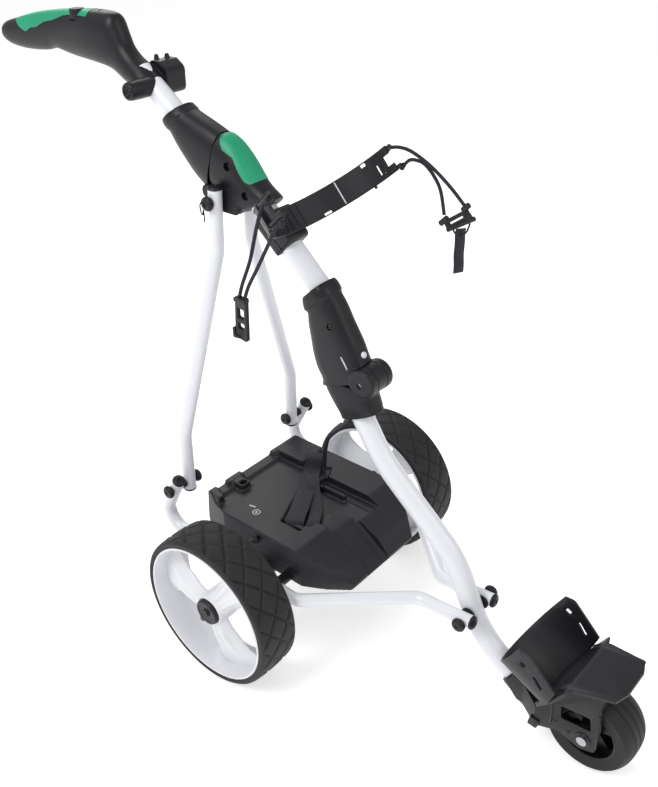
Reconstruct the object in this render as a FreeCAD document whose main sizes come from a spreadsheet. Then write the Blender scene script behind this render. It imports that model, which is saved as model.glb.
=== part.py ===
import FreeCAD, Part
import math
import os
from FreeCAD import Placement, Rotation, Vector

# Electric golf trolley: two powered rear wheels, one front wheel, a folding spine, two
# struts and two rails. Millimetres. +X points forwards to the front wheel, +Y to the
# trolley's left and +Z up. Places are written from the ground below the middle of the rear
# axle. Before writing, the model is moved forwards so that its origin is on the ground at the
# middle of its length and width.

os.makedirs("parts", exist_ok=True)
doc = FreeCAD.newDocument("golf_trolley")
sheet = doc.addObject("Spreadsheet::Sheet", "sizes")

# Driving dimensions: alias, value in millimetres (degrees and counts where the name says so).
SIZES = [
    ("spine_diameter", 40), ("spine_wall", 2), ("rail_diameter", 25), ("rail_wall", 1.5),
    ("fit_gap", 0.05), ("side_gap", 0.5), ("shell_width", 59),
    ("rear_radius", 155), ("rear_width", 87), ("rear_inner_face", 208), ("rim_radius", 140),
    ("rim_wall", 6), ("spoke_count", 3), ("axle_diameter", 12), ("axle_half", 277.5),
    ("hub_radius", 27), ("hub_end", 70), ("cap_radius", 26), ("button_radius", 7), ("button_travel", 3),
    ("front_axle_x", 645), ("front_radius", 79), ("front_width", 76), ("front_rim_radius", 52),
    ("fork_inner", 43), ("fork_plate", 4),
    ("front_pivot_x", 397), ("front_pivot_z", 190),
    ("foot_pivot_x", -176), ("foot_pivot_z", 300),
    ("fold_pivot_x", 163), ("fold_pivot_z", 582),
    ("strut_pivot_x", -143), ("strut_pivot_z", 846),
    ("handle_pivot_x", -178), ("handle_pivot_z", 852),
    ("strut_top_y", 43), ("strut_foot_y", 149), ("rail_y", 184), ("rail_front_y", 35),
    ("bolt_diameter", 8), ("knob_radius", 13), ("knob_length", 12), ("pin_diameter", 10),
    ("knuckle_radius", 27), ("knuckle_half", 12),
    ("tray_width", 288), ("axle_tube_radius", 17.5), ("axle_tube_half", 196),
    ("gear_teeth", 80), ("pinion_teeth", 12), ("tooth_size", 1), ("gear_width", 12),
    ("case_half", 24), ("motor_radius", 24), ("motor_length", 90),
    ("cradle_radius", 138), ("cradle_width", 46), ("cradle_thick", 5), ("cord_radius", 3),
    ("handle_width", 40), ("dial_radius", 14),
]
for row, (alias, number) in enumerate(SIZES, start=1):
    sheet.set(f"A{row}", alias)
    sheet.set(f"B{row}", str(number))
    sheet.setAlias(f"B{row}", alias)
doc.recompute()


def size(alias):
    """The value that the sheet holds under an alias."""
    return float(sheet.get(alias))


def bind(thing, **formulas):
    """Ties properties of an object to formulas over the sheet."""
    for name, formula in formulas.items():
        thing.setExpression(name, str(formula))
    return thing


def side(x, z, y=0.0):
    """A point from its place in the side view."""
    return Vector(x, y, z)


def placed(start, direction):
    """The placement that carries +Z onto a direction, from a start point."""
    return Placement(start, Rotation(Vector(0, 0, 1), direction))


# ---------------------------------------------------------------- building blocks

def corner_path(corners, closed):
    """Lines and tangent arcs through corners (u, v) or (u, v, radius)."""
    points = [Vector(corner[0], corner[1], 0) for corner in corners]
    radii = [corner[2] if len(corner) > 2 else 0 for corner in corners]
    count = len(points)
    ends = []
    arcs = []
    for index, point in enumerate(points):
        radius = radii[index]
        if radius == 0 or (not closed and index in (0, count - 1)):
            ends.append((point, point))
            arcs.append(None)
            continue
        before = (points[index - 1] - point).normalize()
        after = (points[(index + 1) % count] - point).normalize()
        half = before.getAngle(after) / 2
        reach = radius / math.tan(half)
        start = point + before * reach
        stop = point + after * reach
        middle = point + (before + after).normalize() * (radius / math.sin(half) - radius)
        ends.append((start, stop))
        arcs.append(Part.Arc(start, middle, stop))
    pieces = []
    for index in range(count):
        if arcs[index] is not None:
            pieces.append(arcs[index])
        if index == count - 1 and not closed:
            break
        start = ends[index][1]
        stop = ends[(index + 1) % count][0]
        if start.distanceToPoint(stop) > 1e-6:
            pieces.append(Part.LineSegment(start, stop))
    return pieces


def sketch_on(body, role, geometry, name):
    """A sketch on one of a body's own origin planes."""
    sketch = body.newObject("Sketcher::SketchObject", name)
    plane = next(item for item in body.Origin.OriginFeatures if item.Role == role)
    sketch.AttachmentSupport = [(plane, "")]
    sketch.MapMode = "FlatFace"
    for piece in geometry:
        sketch.addGeometry(piece, False)
    return sketch


def circle(u, v, radius):
    """A circle for a sketch."""
    return Part.Circle(Vector(u, v, 0), Vector(0, 0, 1), radius)


def new_body(label, y=0.0):
    """An empty body, moved sideways where a piece stands off the centre plane."""
    body = doc.addObject("PartDesign::Body", label)
    body.Label = label
    body.Placement = Placement(Vector(0, y, 0), Rotation())
    return body


def pad(body, corners, width, role="XZ_Plane", name="pad", holes=()):
    """Pads an outline to both sides of its plane; width is a formula."""
    geometry = corner_path(corners, True) + [circle(*hole) for hole in holes]
    sketch = sketch_on(body, role, geometry, name + "_outline")
    feature = body.newObject("PartDesign::Pad", name)
    feature.Profile = sketch
    feature.SideType = "Symmetric"
    bind(feature, Length=width)
    doc.recompute()
    return body


def pocket(body, geometry, width, role="XZ_Plane", name="pocket"):
    """Cuts sketch geometry away to both sides of its plane."""
    sketch = sketch_on(body, role, geometry, name + "_outline")
    before = body.Shape.Volume
    feature = body.newObject("PartDesign::Pocket", name)
    feature.Profile = sketch
    feature.SideType = "Symmetric"
    bind(feature, Length=width)
    doc.recompute()
    if not body.Shape.Volume < before:
        raise RuntimeError(f"{body.Label}: {name} cut nothing")
    return body


def turned(label, outline, start, direction):
    """A solid of revolution: outline corners are (radius, distance along the axis)."""
    body = new_body(label)
    sketch = sketch_on(body, "XZ_Plane", corner_path(outline, True), "profile")
    feature = body.newObject("PartDesign::Revolution", "turn")
    feature.Profile = sketch
    feature.ReferenceAxis = (sketch, ["V_Axis"])
    feature.Angle = 360
    doc.recompute()
    body.Placement = placed(start, direction)
    return body


def rod(label, radius, length, start, direction):
    """A plain cylinder; radius and length are formulas."""
    piece = doc.addObject("Part::Cylinder", label)
    bind(piece, Radius=radius, Height=length)
    piece.Placement = placed(start, direction)
    return piece


def cross_rod(label, radius, y_from, y_to, x, z):
    """A cylinder that lies across the trolley."""
    length = f"({y_to}) - ({y_from})"
    start = side(x, z, float(sheet.evalExpression(str(y_from))))
    return rod(label, radius, length, start, Vector(0, 1, 0))


def block(label, corner, width, depth, height):
    """A box from its lowest corner; the three sizes are formulas."""
    piece = doc.addObject("Part::Box", label)
    bind(piece, Length=width, Width=depth, Height=height)
    piece.Placement = Placement(corner, Rotation())
    return piece


def join(label, pieces):
    """Several solids as one object."""
    piece = doc.addObject("Part::MultiFuse", label)
    piece.Shapes = pieces
    return piece


def cut(label, base, tools):
    """A base less its tools."""
    tool = tools[0] if len(tools) == 1 else join(label + "_tools", tools)
    piece = doc.addObject("Part::Cut", label)
    piece.Base = base
    piece.Tool = tool
    return piece


def group(label, pieces):
    """Separate identical solids under one name."""
    piece = doc.addObject("Part::Compound", label)
    piece.Links = pieces
    return piece


def polyline_tube(points, bends, radius):
    """A solid round bar along 3-D points; each inner corner has its own bend radius."""
    pieces = []
    last = points[0]
    for index, bend in enumerate(bends, start=1):
        corner = points[index]
        inwards = (corner - points[index - 1]).normalize()
        onwards = (points[index + 1] - corner).normalize()
        turn = inwards.getAngle(onwards)
        reach = bend * math.tan(turn / 2)
        start = corner - inwards * reach
        centre = corner + (onwards - inwards).normalize() * (bend / math.cos(turn / 2))
        section = Part.Face(Part.Wire(Part.makeCircle(radius, start, inwards)))
        pieces.append(Part.makeCylinder(radius, start.distanceToPoint(last), last, inwards))
        pieces.append(section.revolve(centre, inwards.cross(onwards), math.degrees(turn)))
        last = corner + onwards * reach
    rest = points[-1] - last
    pieces.append(Part.makeCylinder(radius, rest.Length, last, rest))
    return pieces[0].multiFuse(pieces[1:]).removeSplitter()


def bent_tube(label, points, bends, diameter, wall, drills):
    """A bent tube with cross holes; each drill is (point, direction, radius)."""
    radius = size(diameter) / 2
    shape = polyline_tube(points, bends, radius)
    shape = shape.cut(polyline_tube(points, bends, radius - size(wall)))
    for point, direction, hole in drills:
        start = point - direction * 60
        shape = shape.cut(Part.makeCylinder(hole, 120, start, direction))
    piece = doc.addObject("Part::Feature", label)
    piece.Shape = shape
    piece.Placement = Placement()
    return piece


ACROSS = Vector(0, 1, 0)
BOLT = size("bolt_diameter") / 2
CLEAR = size("fit_gap")
SPINE = size("spine_diameter") / 2
RAIL = size("rail_diameter") / 2
FRONT_PIVOT = (size("front_pivot_x"), size("front_pivot_z"))
FOOT_PIVOT = (size("foot_pivot_x"), size("foot_pivot_z"))
FOLD_PIVOT = (size("fold_pivot_x"), size("fold_pivot_z"))
STRUT_PIVOT = (size("strut_pivot_x"), size("strut_pivot_z"))
HANDLE_PIVOT = (size("handle_pivot_x"), size("handle_pivot_z"))
AXLE_Z = size("rear_radius")
MIRROR_SIDES = (("right", -1), ("left", 1))

# Tube centre lines in the side view (x, z).
LEG_LINE = [(128, 525), (189, 423), (352, 279), (415, 134), (500, 82)]
LEG_BENDS = [260, 180, 190]
MID_LINE = [(-86, 857), (64, 714)]
SHAFT_LINE = [(-215, 926), (-352, 1030)]

sub_parts = []


def keep(piece):
    """Marks an object as a sub-part to be written."""
    sub_parts.append(piece)
    return piece


# ---------------------------------------------------------------- spine tubes

def lower_spine_tube():
    """The leg: from the fold hinge, past the rail pivot, to the front bracket."""
    points = [side(*point) for point in LEG_LINE]
    drill = (side(*FRONT_PIVOT), ACROSS, BOLT + CLEAR)
    return bent_tube("lower_spine_tube", points, LEG_BENDS, "spine_diameter", "spine_wall", [drill])


def straight_tube(label, line):
    """A straight length of spine tube."""
    start = side(*line[0])
    run = side(*line[1]) - start
    length = run.Length
    outer = rod(label + "_outer", "sizes.spine_diameter / 2", length, start, run)
    bore = rod(label + "_bore", "sizes.spine_diameter / 2 - sizes.spine_wall", length, start, run)
    return cut(label, outer, [bore])


# ---------------------------------------------------------------- rails and struts

def rail(name, sign):
    """One chassis rail: front pivot, splay, straight run and curled-up rear end."""
    front_y = sign * size("rail_front_y")
    rear_y = sign * size("rail_y")
    points = [
        side(413, 192, front_y), side(300, 184, front_y), side(132, 187, rear_y),
        side(-228, 206, rear_y), side(-165, 320, rear_y),
    ]
    drills = [
        (side(*FRONT_PIVOT, front_y), ACROSS, BOLT + CLEAR),
        (side(*FOOT_PIVOT, rear_y), ACROSS, BOLT + CLEAR),
    ]
    return bent_tube("rail_" + name, points, [38, 38, 38], "rail_diameter", "rail_wall", drills)


def strut(name, sign):
    """One strut, from the rail's rear end up to the upper housing."""
    top_y = sign * size("strut_top_y")
    foot_y = sign * size("strut_foot_y")
    points = [
        side(-177, 283, foot_y), side(-172, 408, foot_y), side(-149, 751, top_y),
        side(-141, 868, top_y),
    ]
    drills = [
        (side(*STRUT_PIVOT, top_y), ACROSS, BOLT + CLEAR),
        (side(*FOOT_PIVOT, foot_y), ACROSS, BOLT + CLEAR),
    ]
    return bent_tube("strut_" + name, points, [60, 60], "rail_diameter", "rail_wall", drills)


def plug(label, x, z, y, direction):
    """A tube end plug: a spigot inside the tube and a domed head outside."""
    inner = RAIL - size("rail_wall") - CLEAR
    head = RAIL + 0.5
    outline = [(0, -9), (inner, -9), (inner, 0.1), (head, 0.1), (head, 3, 2), (head - 4, 6), (0, 6)]
    return turned(label, outline, side(x, z, y), direction)


def rail_plugs():
    """Plugs in both ends of both rails."""
    pieces = []
    for name, sign in MIRROR_SIDES:
        front = side(413, 192) - side(300, 184)
        rear = side(-165, 320) - side(-228, 206)
        pieces.append(plug("front_plug_" + name, 413, 192, sign * size("rail_front_y"), front))
        pieces.append(plug("rear_plug_" + name, -165, 320, sign * size("rail_y"), rear))
    return group("rail_plugs", pieces)


def strut_plugs():
    """Plugs in both ends of both struts."""
    pieces = []
    for name, sign in MIRROR_SIDES:
        top = side(-141, 868) - side(-149, 751)
        foot = side(-177, 283) - side(-172, 408)
        pieces.append(plug("top_plug_" + name, -141, 868, sign * size("strut_top_y"), top))
        pieces.append(plug("foot_plug_" + name, -177, 283, sign * size("strut_foot_y"), foot))
    return group("strut_plugs", pieces)


def knob(label, start, direction, depth):
    """A domed knob whose nut grips a bolt end; depth is its blind bore."""
    radius = size("knob_radius")
    length = size("knob_length")
    bore = BOLT + CLEAR
    outline = [
        (bore, 0), (radius - 2, 0), (radius, 3), (radius, length - 4, 3), (radius - 5, length),
        (0, length), (0, depth), (bore, depth),
    ]
    return turned(label, outline, start, direction)


def rail_bolts():
    """The long front pivot bolt, and the rear bolts that stop short of the struts."""
    reach = "sizes.rail_front_y + sizes.rail_diameter / 2 + 6"
    front = cross_rod("front_pivot_bolt", "sizes.bolt_diameter / 2", f"-({reach})", reach,
                      *FRONT_PIVOT)
    inner = "sizes.strut_foot_y + sizes.rail_diameter / 2 + sizes.side_gap"
    outer = "sizes.rail_y + sizes.rail_diameter / 2 + 6"
    left = cross_rod("foot_bolt_left", "sizes.bolt_diameter / 2", inner, outer, *FOOT_PIVOT)
    right = cross_rod("foot_bolt_right", "sizes.bolt_diameter / 2", f"-({outer})", f"-({inner})",
                      *FOOT_PIVOT)
    return group("rail_bolts", [front, left, right])


def collar(label, inner, outer, bore, y_from, y_to, x, z):
    """A ring across the trolley; the radii and ends are formulas."""
    body = cross_rod(label + "_body", outer, y_from, y_to, x, z)
    hole = cross_rod(label + "_hole", f"{inner} + {bore}", y_from, y_to, x, z)
    return cut(label, body, [hole])


def rail_spacers():
    """Spacer collars between rails and spine in front, and rails and struts behind."""
    bolt = "sizes.bolt_diameter / 2"
    pieces = []
    for name, sign in MIRROR_SIDES:
        rail_in = "sizes.rail_y - sizes.rail_diameter / 2"
        strut_out = "sizes.strut_foot_y + sizes.rail_diameter / 2 + sizes.side_gap"
        front_in = "sizes.spine_diameter / 2 + 0.3"
        front_out = "sizes.rail_front_y - sizes.rail_diameter / 2 - 0.1"
        spans = [(strut_out, rail_in, FOOT_PIVOT, "9"), (front_in, front_out, FRONT_PIVOT, "14")]
        for place, (low, high, pivot, radius) in zip(("rear", "front"), spans):
            if sign < 0:
                low, high = f"-({high})", f"-({low})"
            label = f"{place}_spacer_{name}"
            pieces.append(collar(label, bolt, radius, "sizes.fit_gap", low, high, *pivot))
    return group("rail_spacers", pieces)


def rail_knobs():
    """Knobs on the outer ends of the rail bolts, front and rear."""
    pieces = []
    for name, sign in MIRROR_SIDES:
        outward = Vector(0, sign, 0)
        rear_y = sign * (size("rail_y") + RAIL + 0.1)
        front_y = sign * (size("rail_front_y") + RAIL + 0.1)
        pieces.append(knob("rear_knob_" + name, side(*FOOT_PIVOT, rear_y), outward, 7))
        pieces.append(knob("front_knob_" + name, side(*FRONT_PIVOT, front_y), outward, 7))
    return group("rail_knobs", pieces)


def strut_foot_knobs():
    """Knobs on the inner sides of the strut feet, each moulded on its own stud."""
    outer = "sizes.strut_foot_y + sizes.rail_diameter / 2"
    inner = "sizes.strut_foot_y - sizes.rail_diameter / 2 - 7"
    ends = {"right": (f"-({outer})", f"-({inner})"), "left": (inner, outer)}
    pieces = []
    for name, sign in MIRROR_SIDES:
        inward = Vector(0, -sign, 0)
        start_y = sign * (size("strut_foot_y") - RAIL - 0.1)
        head = knob("foot_knob_" + name, side(*FOOT_PIVOT, start_y), inward, 7)
        stud = cross_rod("foot_stud_" + name, "sizes.bolt_diameter / 2 + sizes.fit_gap", *ends[name],
                         *FOOT_PIVOT)
        pieces.append(join("studded_knob_" + name, [head, stud]))
    return group("strut_foot_knobs", pieces)


def strut_top_bolt():
    """The long bolt through the upper housing and both struts."""
    reach = "sizes.strut_top_y + sizes.rail_diameter / 2 + 6"
    return cross_rod("strut_top_bolt", "sizes.bolt_diameter / 2", f"-({reach})", reach, *STRUT_PIVOT)


def strut_top_knobs():
    """Knobs on the outer ends of the strut top bolt."""
    pieces = []
    for name, sign in MIRROR_SIDES:
        start_y = sign * (size("strut_top_y") + RAIL + 0.2)
        pieces.append(knob("top_knob_" + name, side(*STRUT_PIVOT, start_y), Vector(0, sign, 0), 7))
    return group("strut_top_knobs", pieces)


# ---------------------------------------------------------------- wheels and drive

def rear_tyre(name, sign):
    """A solid tyre with rounded shoulders on the rim's seat."""
    width = size("rear_width")
    inner = size("rim_radius") + CLEAR
    outer = size("rear_radius")
    outline = [
        (inner, 0), (outer - 6, 0, 3), (outer, 16, 30), (outer, width - 16, 30),
        (outer - 6, width, 3), (inner, width),
    ]
    start = side(0, AXLE_Z, sign * size("rear_inner_face"))
    return turned("rear_tyre_" + name, outline, start, Vector(0, sign, 0))


def rear_rim(name, sign):
    """A one-piece moulded rim: barrel, dished web with three windows, and a hub."""
    outer = size("rim_radius")
    inner = outer - size("rim_wall")
    hub = size("hub_radius")
    bore = size("axle_diameter") / 2 + CLEAR
    width = size("rear_width")
    end = size("hub_end")
    outline = [
        (bore, 12), (hub, 12), (hub, 52), (inner, 36), (inner, 0), (outer, 0),
        (outer, width), (inner, width), (inner, 46), (hub, 64), (hub, end), (bore, end),
    ]
    rim = turned("rear_rim_" + name, outline, side(0, AXLE_Z, sign * size("rear_inner_face")),
                 Vector(0, sign, 0))
    window = [(-38, 52, 12), (-88, 92, 20), (0, 128, 40), (88, 92, 20), (38, 52, 12)]
    sketch = sketch_on(rim, "XY_Plane", corner_path(window, True), "window_outline")
    feature = rim.newObject("PartDesign::Pocket", "window")
    feature.Profile = sketch
    feature.SideType = "Symmetric"
    bind(feature, Length="2 * sizes.rear_width")
    doc.recompute()
    pattern = rim.newObject("PartDesign::PolarPattern", "windows")
    pattern.Originals = [feature]
    pattern.Axis = (sketch, ["N_Axis"])
    pattern.Angle = 360
    bind(pattern, Occurrences="sizes.spoke_count")
    rim.Tip = pattern
    doc.recompute()
    return rim


def hub_cap(name, sign):
    """The dark hub cap that hides the quick-release; its button slides in the middle."""
    radius = size("cap_radius")
    bore = size("button_radius") + CLEAR
    outline = [(bore, 0), (radius, 0), (radius, 8, 3), (radius - 5, 12, 2), (bore, 12)]
    start = side(0, AXLE_Z, sign * (size("rear_inner_face") + size("hub_end") + 0.1))
    return turned("hub_cap_" + name, outline, start, Vector(0, sign, 0))


def wheel_button(name, sign):
    """The quick-release button in a hub cap."""
    radius = size("button_radius")
    outline = [(0, 0), (radius, 0), (radius, 11, 2), (0, 11)]
    start = side(0, AXLE_Z, sign * (size("axle_half") + size("button_travel") + 0.5))
    return turned("wheel_button_" + name, outline, start, Vector(0, sign, 0))


def rear_axle():
    """The driven axle, right across the trolley."""
    return cross_rod("rear_axle", "sizes.axle_diameter / 2", "-sizes.axle_half", "sizes.axle_half",
                     0, AXLE_Z)


def toothed_wheel(label, teeth_alias, bore, phase, x):
    """A spur wheel; teeth are straight-sided and thinner than half the pitch."""
    teeth = int(size(teeth_alias))
    module = size("tooth_size")
    pitch_radius = teeth * module / 2
    root = pitch_radius - 1.1 * module
    tip = pitch_radius + 0.8 * module
    root_half = 0.85 * module / root
    tip_half = 0.38 * module / tip
    corners = []
    for index in range(teeth):
        middle = phase + 2 * math.pi * index / teeth
        for radius, offset in ((root, -root_half), (tip, -tip_half), (tip, tip_half),
                               (root, root_half)):
            angle = middle + offset
            corners.append((radius * math.cos(angle), radius * math.sin(angle)))
    body = new_body(label)
    pad(body, corners, "sizes.gear_width", holes=[(0, 0, bore)])
    body.Placement = Placement(side(x, AXLE_Z), Rotation())
    return body


def gear_centre():
    """Centre distance of the gear pair."""
    return size("tooth_size") * (size("gear_teeth") + size("pinion_teeth")) / 2


def drive_gear():
    """The large gear on the axle; a tooth points forwards."""
    return toothed_wheel("drive_gear", "gear_teeth", size("axle_diameter") / 2 + CLEAR, 0, 0)


def motor_pinion():
    """The pinion, cut in one piece with the motor shaft; a gap faces the drive gear."""
    phase = math.pi / size("pinion_teeth")
    teeth = toothed_wheel("pinion_teeth_ring", "pinion_teeth", 2, phase, gear_centre())
    shaft = cross_rod("pinion_shaft", "3", "-12", "44", gear_centre(), AXLE_Z)
    return join("motor_pinion", [teeth, shaft])


def case_outline(wall):
    """Side outline of the gearbox: a large and a small round joined by flats."""
    big = 45 + wall
    small = 12 + wall
    far = gear_centre() + small
    return [(-big, AXLE_Z - big, big - 1), (big, AXLE_Z - big, 30), (far, AXLE_Z - small, small - 1),
            (far, AXLE_Z + small, small - 1), (big, AXLE_Z + big, 30), (-big, AXLE_Z + big, big - 1)]


def gearbox_half(label, sign):
    """One half of the gearbox case, open at the middle plane."""
    half = size("case_half")
    outer = new_body(label + "_blank", sign * half / 2)
    pad(outer, case_outline(3), "sizes.case_half")
    cavity = new_body(label + "_cavity", sign * (half - 3) / 2)
    pad(cavity, case_outline(0), "sizes.case_half - 3")
    shaft_hole = rod(label + "_axle_hole", "sizes.axle_diameter / 2 + 0.5", "4 * sizes.case_half",
                     side(0, AXLE_Z, -2 * half), ACROSS)
    motor_hole = rod(label + "_motor_hole", "4", "4 * sizes.case_half",
                     side(gear_centre(), AXLE_Z, -2 * half), ACROSS)
    return cut(label, outer, [cavity, shaft_hole, motor_hole])


def motor():
    """The motor can beside the gearbox, with its shaft bore."""
    can = rod("motor_can", "sizes.motor_radius", "sizes.motor_length",
              side(gear_centre(), AXLE_Z, size("case_half") + 0.1), ACROSS)
    bore = rod("motor_bore", "3 + sizes.fit_gap", "21",
               side(gear_centre(), AXLE_Z, size("case_half") + 0.1), ACROSS)
    return cut("motor", can, [bore])


def axle_housings():
    """The two axle tubes with saddles that carry the rails."""
    pieces = []
    for name, sign in MIRROR_SIDES:
        inner = "sizes.case_half + 0.1"
        outer = "sizes.axle_tube_half"
        ends = (inner, outer) if sign > 0 else (f"-({outer})", f"-({inner})")
        tube = cross_rod("axle_tube_" + name, "sizes.axle_tube_radius", *ends, 0, AXLE_Z)
        bore = cross_rod("axle_bore_" + name, "14", *ends, 0, AXLE_Z)
        saddle_y = sign * size("rail_y") - 10
        saddle = block("saddle_" + name, Vector(-16, saddle_y, AXLE_Z), "32", "20", "25")
        joined = join("axle_blank_" + name, [tube, saddle])
        pieces.append(cut("axle_housing_" + name, joined, [bore]))
    return group("axle_housings", pieces)


def axle_bearings():
    """Ball bearings, shown as plain rings, at the outer ends of the axle tubes."""
    pieces = []
    for name, sign in MIRROR_SIDES:
        low = sign * (size("axle_tube_half") - 6) - 5
        ring = collar("bearing_" + name, "sizes.axle_diameter / 2", "13.95", "sizes.fit_gap",
                      low, low + 10, 0, AXLE_Z)
        pieces.append(ring)
    return group("axle_bearings", pieces)


# ---------------------------------------------------------------- battery tray

def battery_tray():
    """The moulded tray: sloping nose, cut corners, hollow below, and a trough in front."""
    body = new_body("tray_moulding")
    outline = [(-156, 180), (-160, 200, 8), (-150, 273, 6), (-132, 273, 6), (-122, 257, 8),
               (104, 257, 20), (196, 190, 8), (188, 178, 6)]
    pad(body, outline, "sizes.tray_width")
    half = size("tray_width") / 2
    corners = []
    for sign in (-1, 1):
        corners += corner_path([(112, sign * half), (210, sign * 84), (210, sign * 160),
                                (112, sign * 160)], True)
        corners += corner_path([(-60, sign * half), (-60, sign * 160), (-170, sign * 160),
                                (-170, sign * 122)], True)
    pocket(body, corners, "4 * sizes.tray_width", "XY_Plane", "corner_cut")
    hollow = [(-152, 170), (-146, 252), (30, 252), (34, 236), (104, 234), (142, 206), (142, 170)]
    pocket(body, corner_path(hollow, True), "236", "XZ_Plane", "hollow")
    trough = [(40, 290), (48, 242, 10), (112, 241, 10), (190, 176), (230, 176), (230, 290)]
    trough_tool = new_body("tray_trough", -20)
    pad(trough_tool, trough, "66")
    pieces = [body]
    pieces.append(block("anchor_block", Vector(-142, 60, 250), "78", "66", "25"))
    for name, sign in MIRROR_SIDES:
        low = half - 4 if sign > 0 else -171.3
        pieces.append(block("ear_" + name, Vector(64, low, 181), "20", 171.3 - half + 4, "9"))
    channel = strap_bar("strap_channel", "40", "10", 252.5, 0)
    far_slot = block("tray_slot", Vector(-13, 45, 240), "138", "27", "40")
    return cut("battery_tray", join("tray_joined", pieces), [channel, trough_tool, far_slot])


def strap_bar(label, width, height, level, spare):
    """A flat bar along the strap's line over the tray, shorter by a spare at each end."""
    start = Vector(-54, 82, level)
    run = (Vector(40, -82, level) - start).normalize()
    piece = doc.addObject("Part::Box", label)
    bind(piece, Length="189 - 2 * " + str(spare), Width=width, Height=height)
    turn = Rotation(Vector(1, 0, 0), run)
    sideways = turn.multVec(ACROSS) * (sheet_number(width) / 2)
    piece.Placement = Placement(start + run * spare - sideways, turn)
    return piece


def sheet_number(formula):
    """The value of a formula over the sheet."""
    return float(sheet.evalExpression(formula))


def battery_strap():
    """The webbing strap that holds the battery down, lying in its channel."""
    return strap_bar("battery_strap", "37", "2.5", 253, 1)


def controller_box():
    """The speed controller, under the tray's rear."""
    return block("controller_box", Vector(-138, -55, 206), "78", "110", "30")


def power_lead():
    """The flexible lead from the leg down to the battery."""
    points = [side(96, 472), side(30, 455, 25), side(-20, 380, 70), side(-28, 262.5, 78)]
    piece = doc.addObject("Part::Feature", "power_lead")
    piece.Shape = polyline_tube(points, [40, 30], size("cord_radius") + 1.5)
    piece.Placement = Placement()
    return piece


# ---------------------------------------------------------------- leg, front bracket and wheel

def leg_hinge_shell():
    """The lower half of the fold hinge, moulded round the top of the leg."""
    body = new_body("leg_shell_blank")
    outline = [(70.4, 545), (92, 512, 14), (108, 486, 4), (181, 530, 4), (172, 554, 6), (164, 581)]
    pad(body, outline, "sizes.shell_width")
    half = size("shell_width") / 2
    boss = cross_rod("leg_knuckle", "sizes.knuckle_radius", "-sizes.knuckle_half",
                     "sizes.knuckle_half", *FOLD_PIVOT)
    gap = "sizes.knuckle_half + 0.3"
    clear = []
    for name, (low, high) in {"right": (-half - 1, f"-({gap})"), "left": (gap, half + 1)}.items():
        clear.append(cross_rod("leg_clear_" + name, "sizes.knuckle_radius + 0.6", low, high,
                               *FOLD_PIVOT))
    start = side(*LEG_LINE[0])
    bore = rod("leg_socket", "sizes.spine_diameter / 2 + sizes.fit_gap", "90", start,
               side(*LEG_LINE[1]) - start)
    pin = cross_rod("leg_pin_bore", "sizes.pin_diameter / 2 + sizes.fit_gap", -60, 60, *FOLD_PIVOT)
    shell = cut("leg_shell_cleared", body, clear)
    return cut("leg_hinge_shell", join("leg_shell_joined", [shell, boss]), [bore, pin])


def front_bracket():
    """The front casting: collar on the leg, bridge and two fork plates."""
    body = new_body("bracket_blank")
    outline = [(484, 84, 4), (497, 113, 4), (562, 86), (572, 96), (629, 188), (684, 199, 6),
               (670, 62, 8), (640, 54, 6), (562, 52, 8), (505, 60, 4)]
    pad(body, outline, "2 * (sizes.fork_inner + sizes.fork_plate)")
    wheel_gap = [circle(size("front_axle_x"), size("front_radius"), size("front_radius") + 5)]
    pocket(body, wheel_gap, "2 * sizes.fork_inner", "XZ_Plane", "wheel_gap")
    window = corner_path([(606, 102, 3), (606, 128, 3), (660, 134, 3), (660, 112, 3)], True)
    pocket(body, window, "200", "XZ_Plane", "window")
    waist = []
    for sign in (-1, 1):
        waist += corner_path([(440, sign * 27), (540, sign * 27, 20), (566, sign * 80),
                              (440, sign * 80)], True)
    pocket(body, waist, "600", "XY_Plane", "waist")
    run = (side(*LEG_LINE[-1]) - side(*LEG_LINE[-2])).normalize()
    start = side(*LEG_LINE[-1]) - run * 20
    sleeve = rod("bracket_sleeve", "sizes.spine_diameter / 2 + 6", "42", start, run)
    bore = rod("bracket_socket", "sizes.spine_diameter / 2 + sizes.fit_gap", "80", start - run * 59.9,
               run)
    axle = cross_rod("bracket_axle_bore", "5 + sizes.fit_gap", -60, 60, size("front_axle_x"),
                     size("front_radius"))
    return cut("front_bracket", join("bracket_joined", [body, sleeve]), [bore, axle])


def front_axle_bolt():
    """The front axle bolt with its head and nut."""
    reach = size("fork_inner") + size("fork_plate") + 0.1
    outline = [(0, -reach - 6), (9, -reach - 6), (9, -reach), (5, -reach), (5, reach), (9, reach),
               (9, reach + 7), (0, reach + 7)]
    return turned("front_axle_bolt", outline, side(size("front_axle_x"), size("front_radius")), ACROSS)


def front_wheel_ring(label, outline):
    """A ring of the front wheel about its axle."""
    return turned(label, outline, side(size("front_axle_x"), size("front_radius")), ACROSS)


def front_rim():
    """The front rim: barrel, thin web and hub."""
    outer = size("front_rim_radius")
    bore = 11 + CLEAR
    outline = [(bore, -32), (18, -32), (18, -4), (outer - 6, -4), (outer - 6, -34), (outer, -34),
               (outer, 34), (outer - 6, 34), (outer - 6, 4), (18, 4), (18, 32), (bore, 32)]
    return front_wheel_ring("front_rim", outline)


def front_tyre():
    """The front tyre."""
    inner = size("front_rim_radius") + CLEAR
    outer = size("front_radius")
    half = size("front_width") / 2
    outline = [(inner, -half), (outer - 6, -half, 4), (outer, -half + 16, 24),
               (outer, half - 16, 24), (outer - 6, half, 4), (inner, half)]
    return front_wheel_ring("front_tyre", outline)


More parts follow.
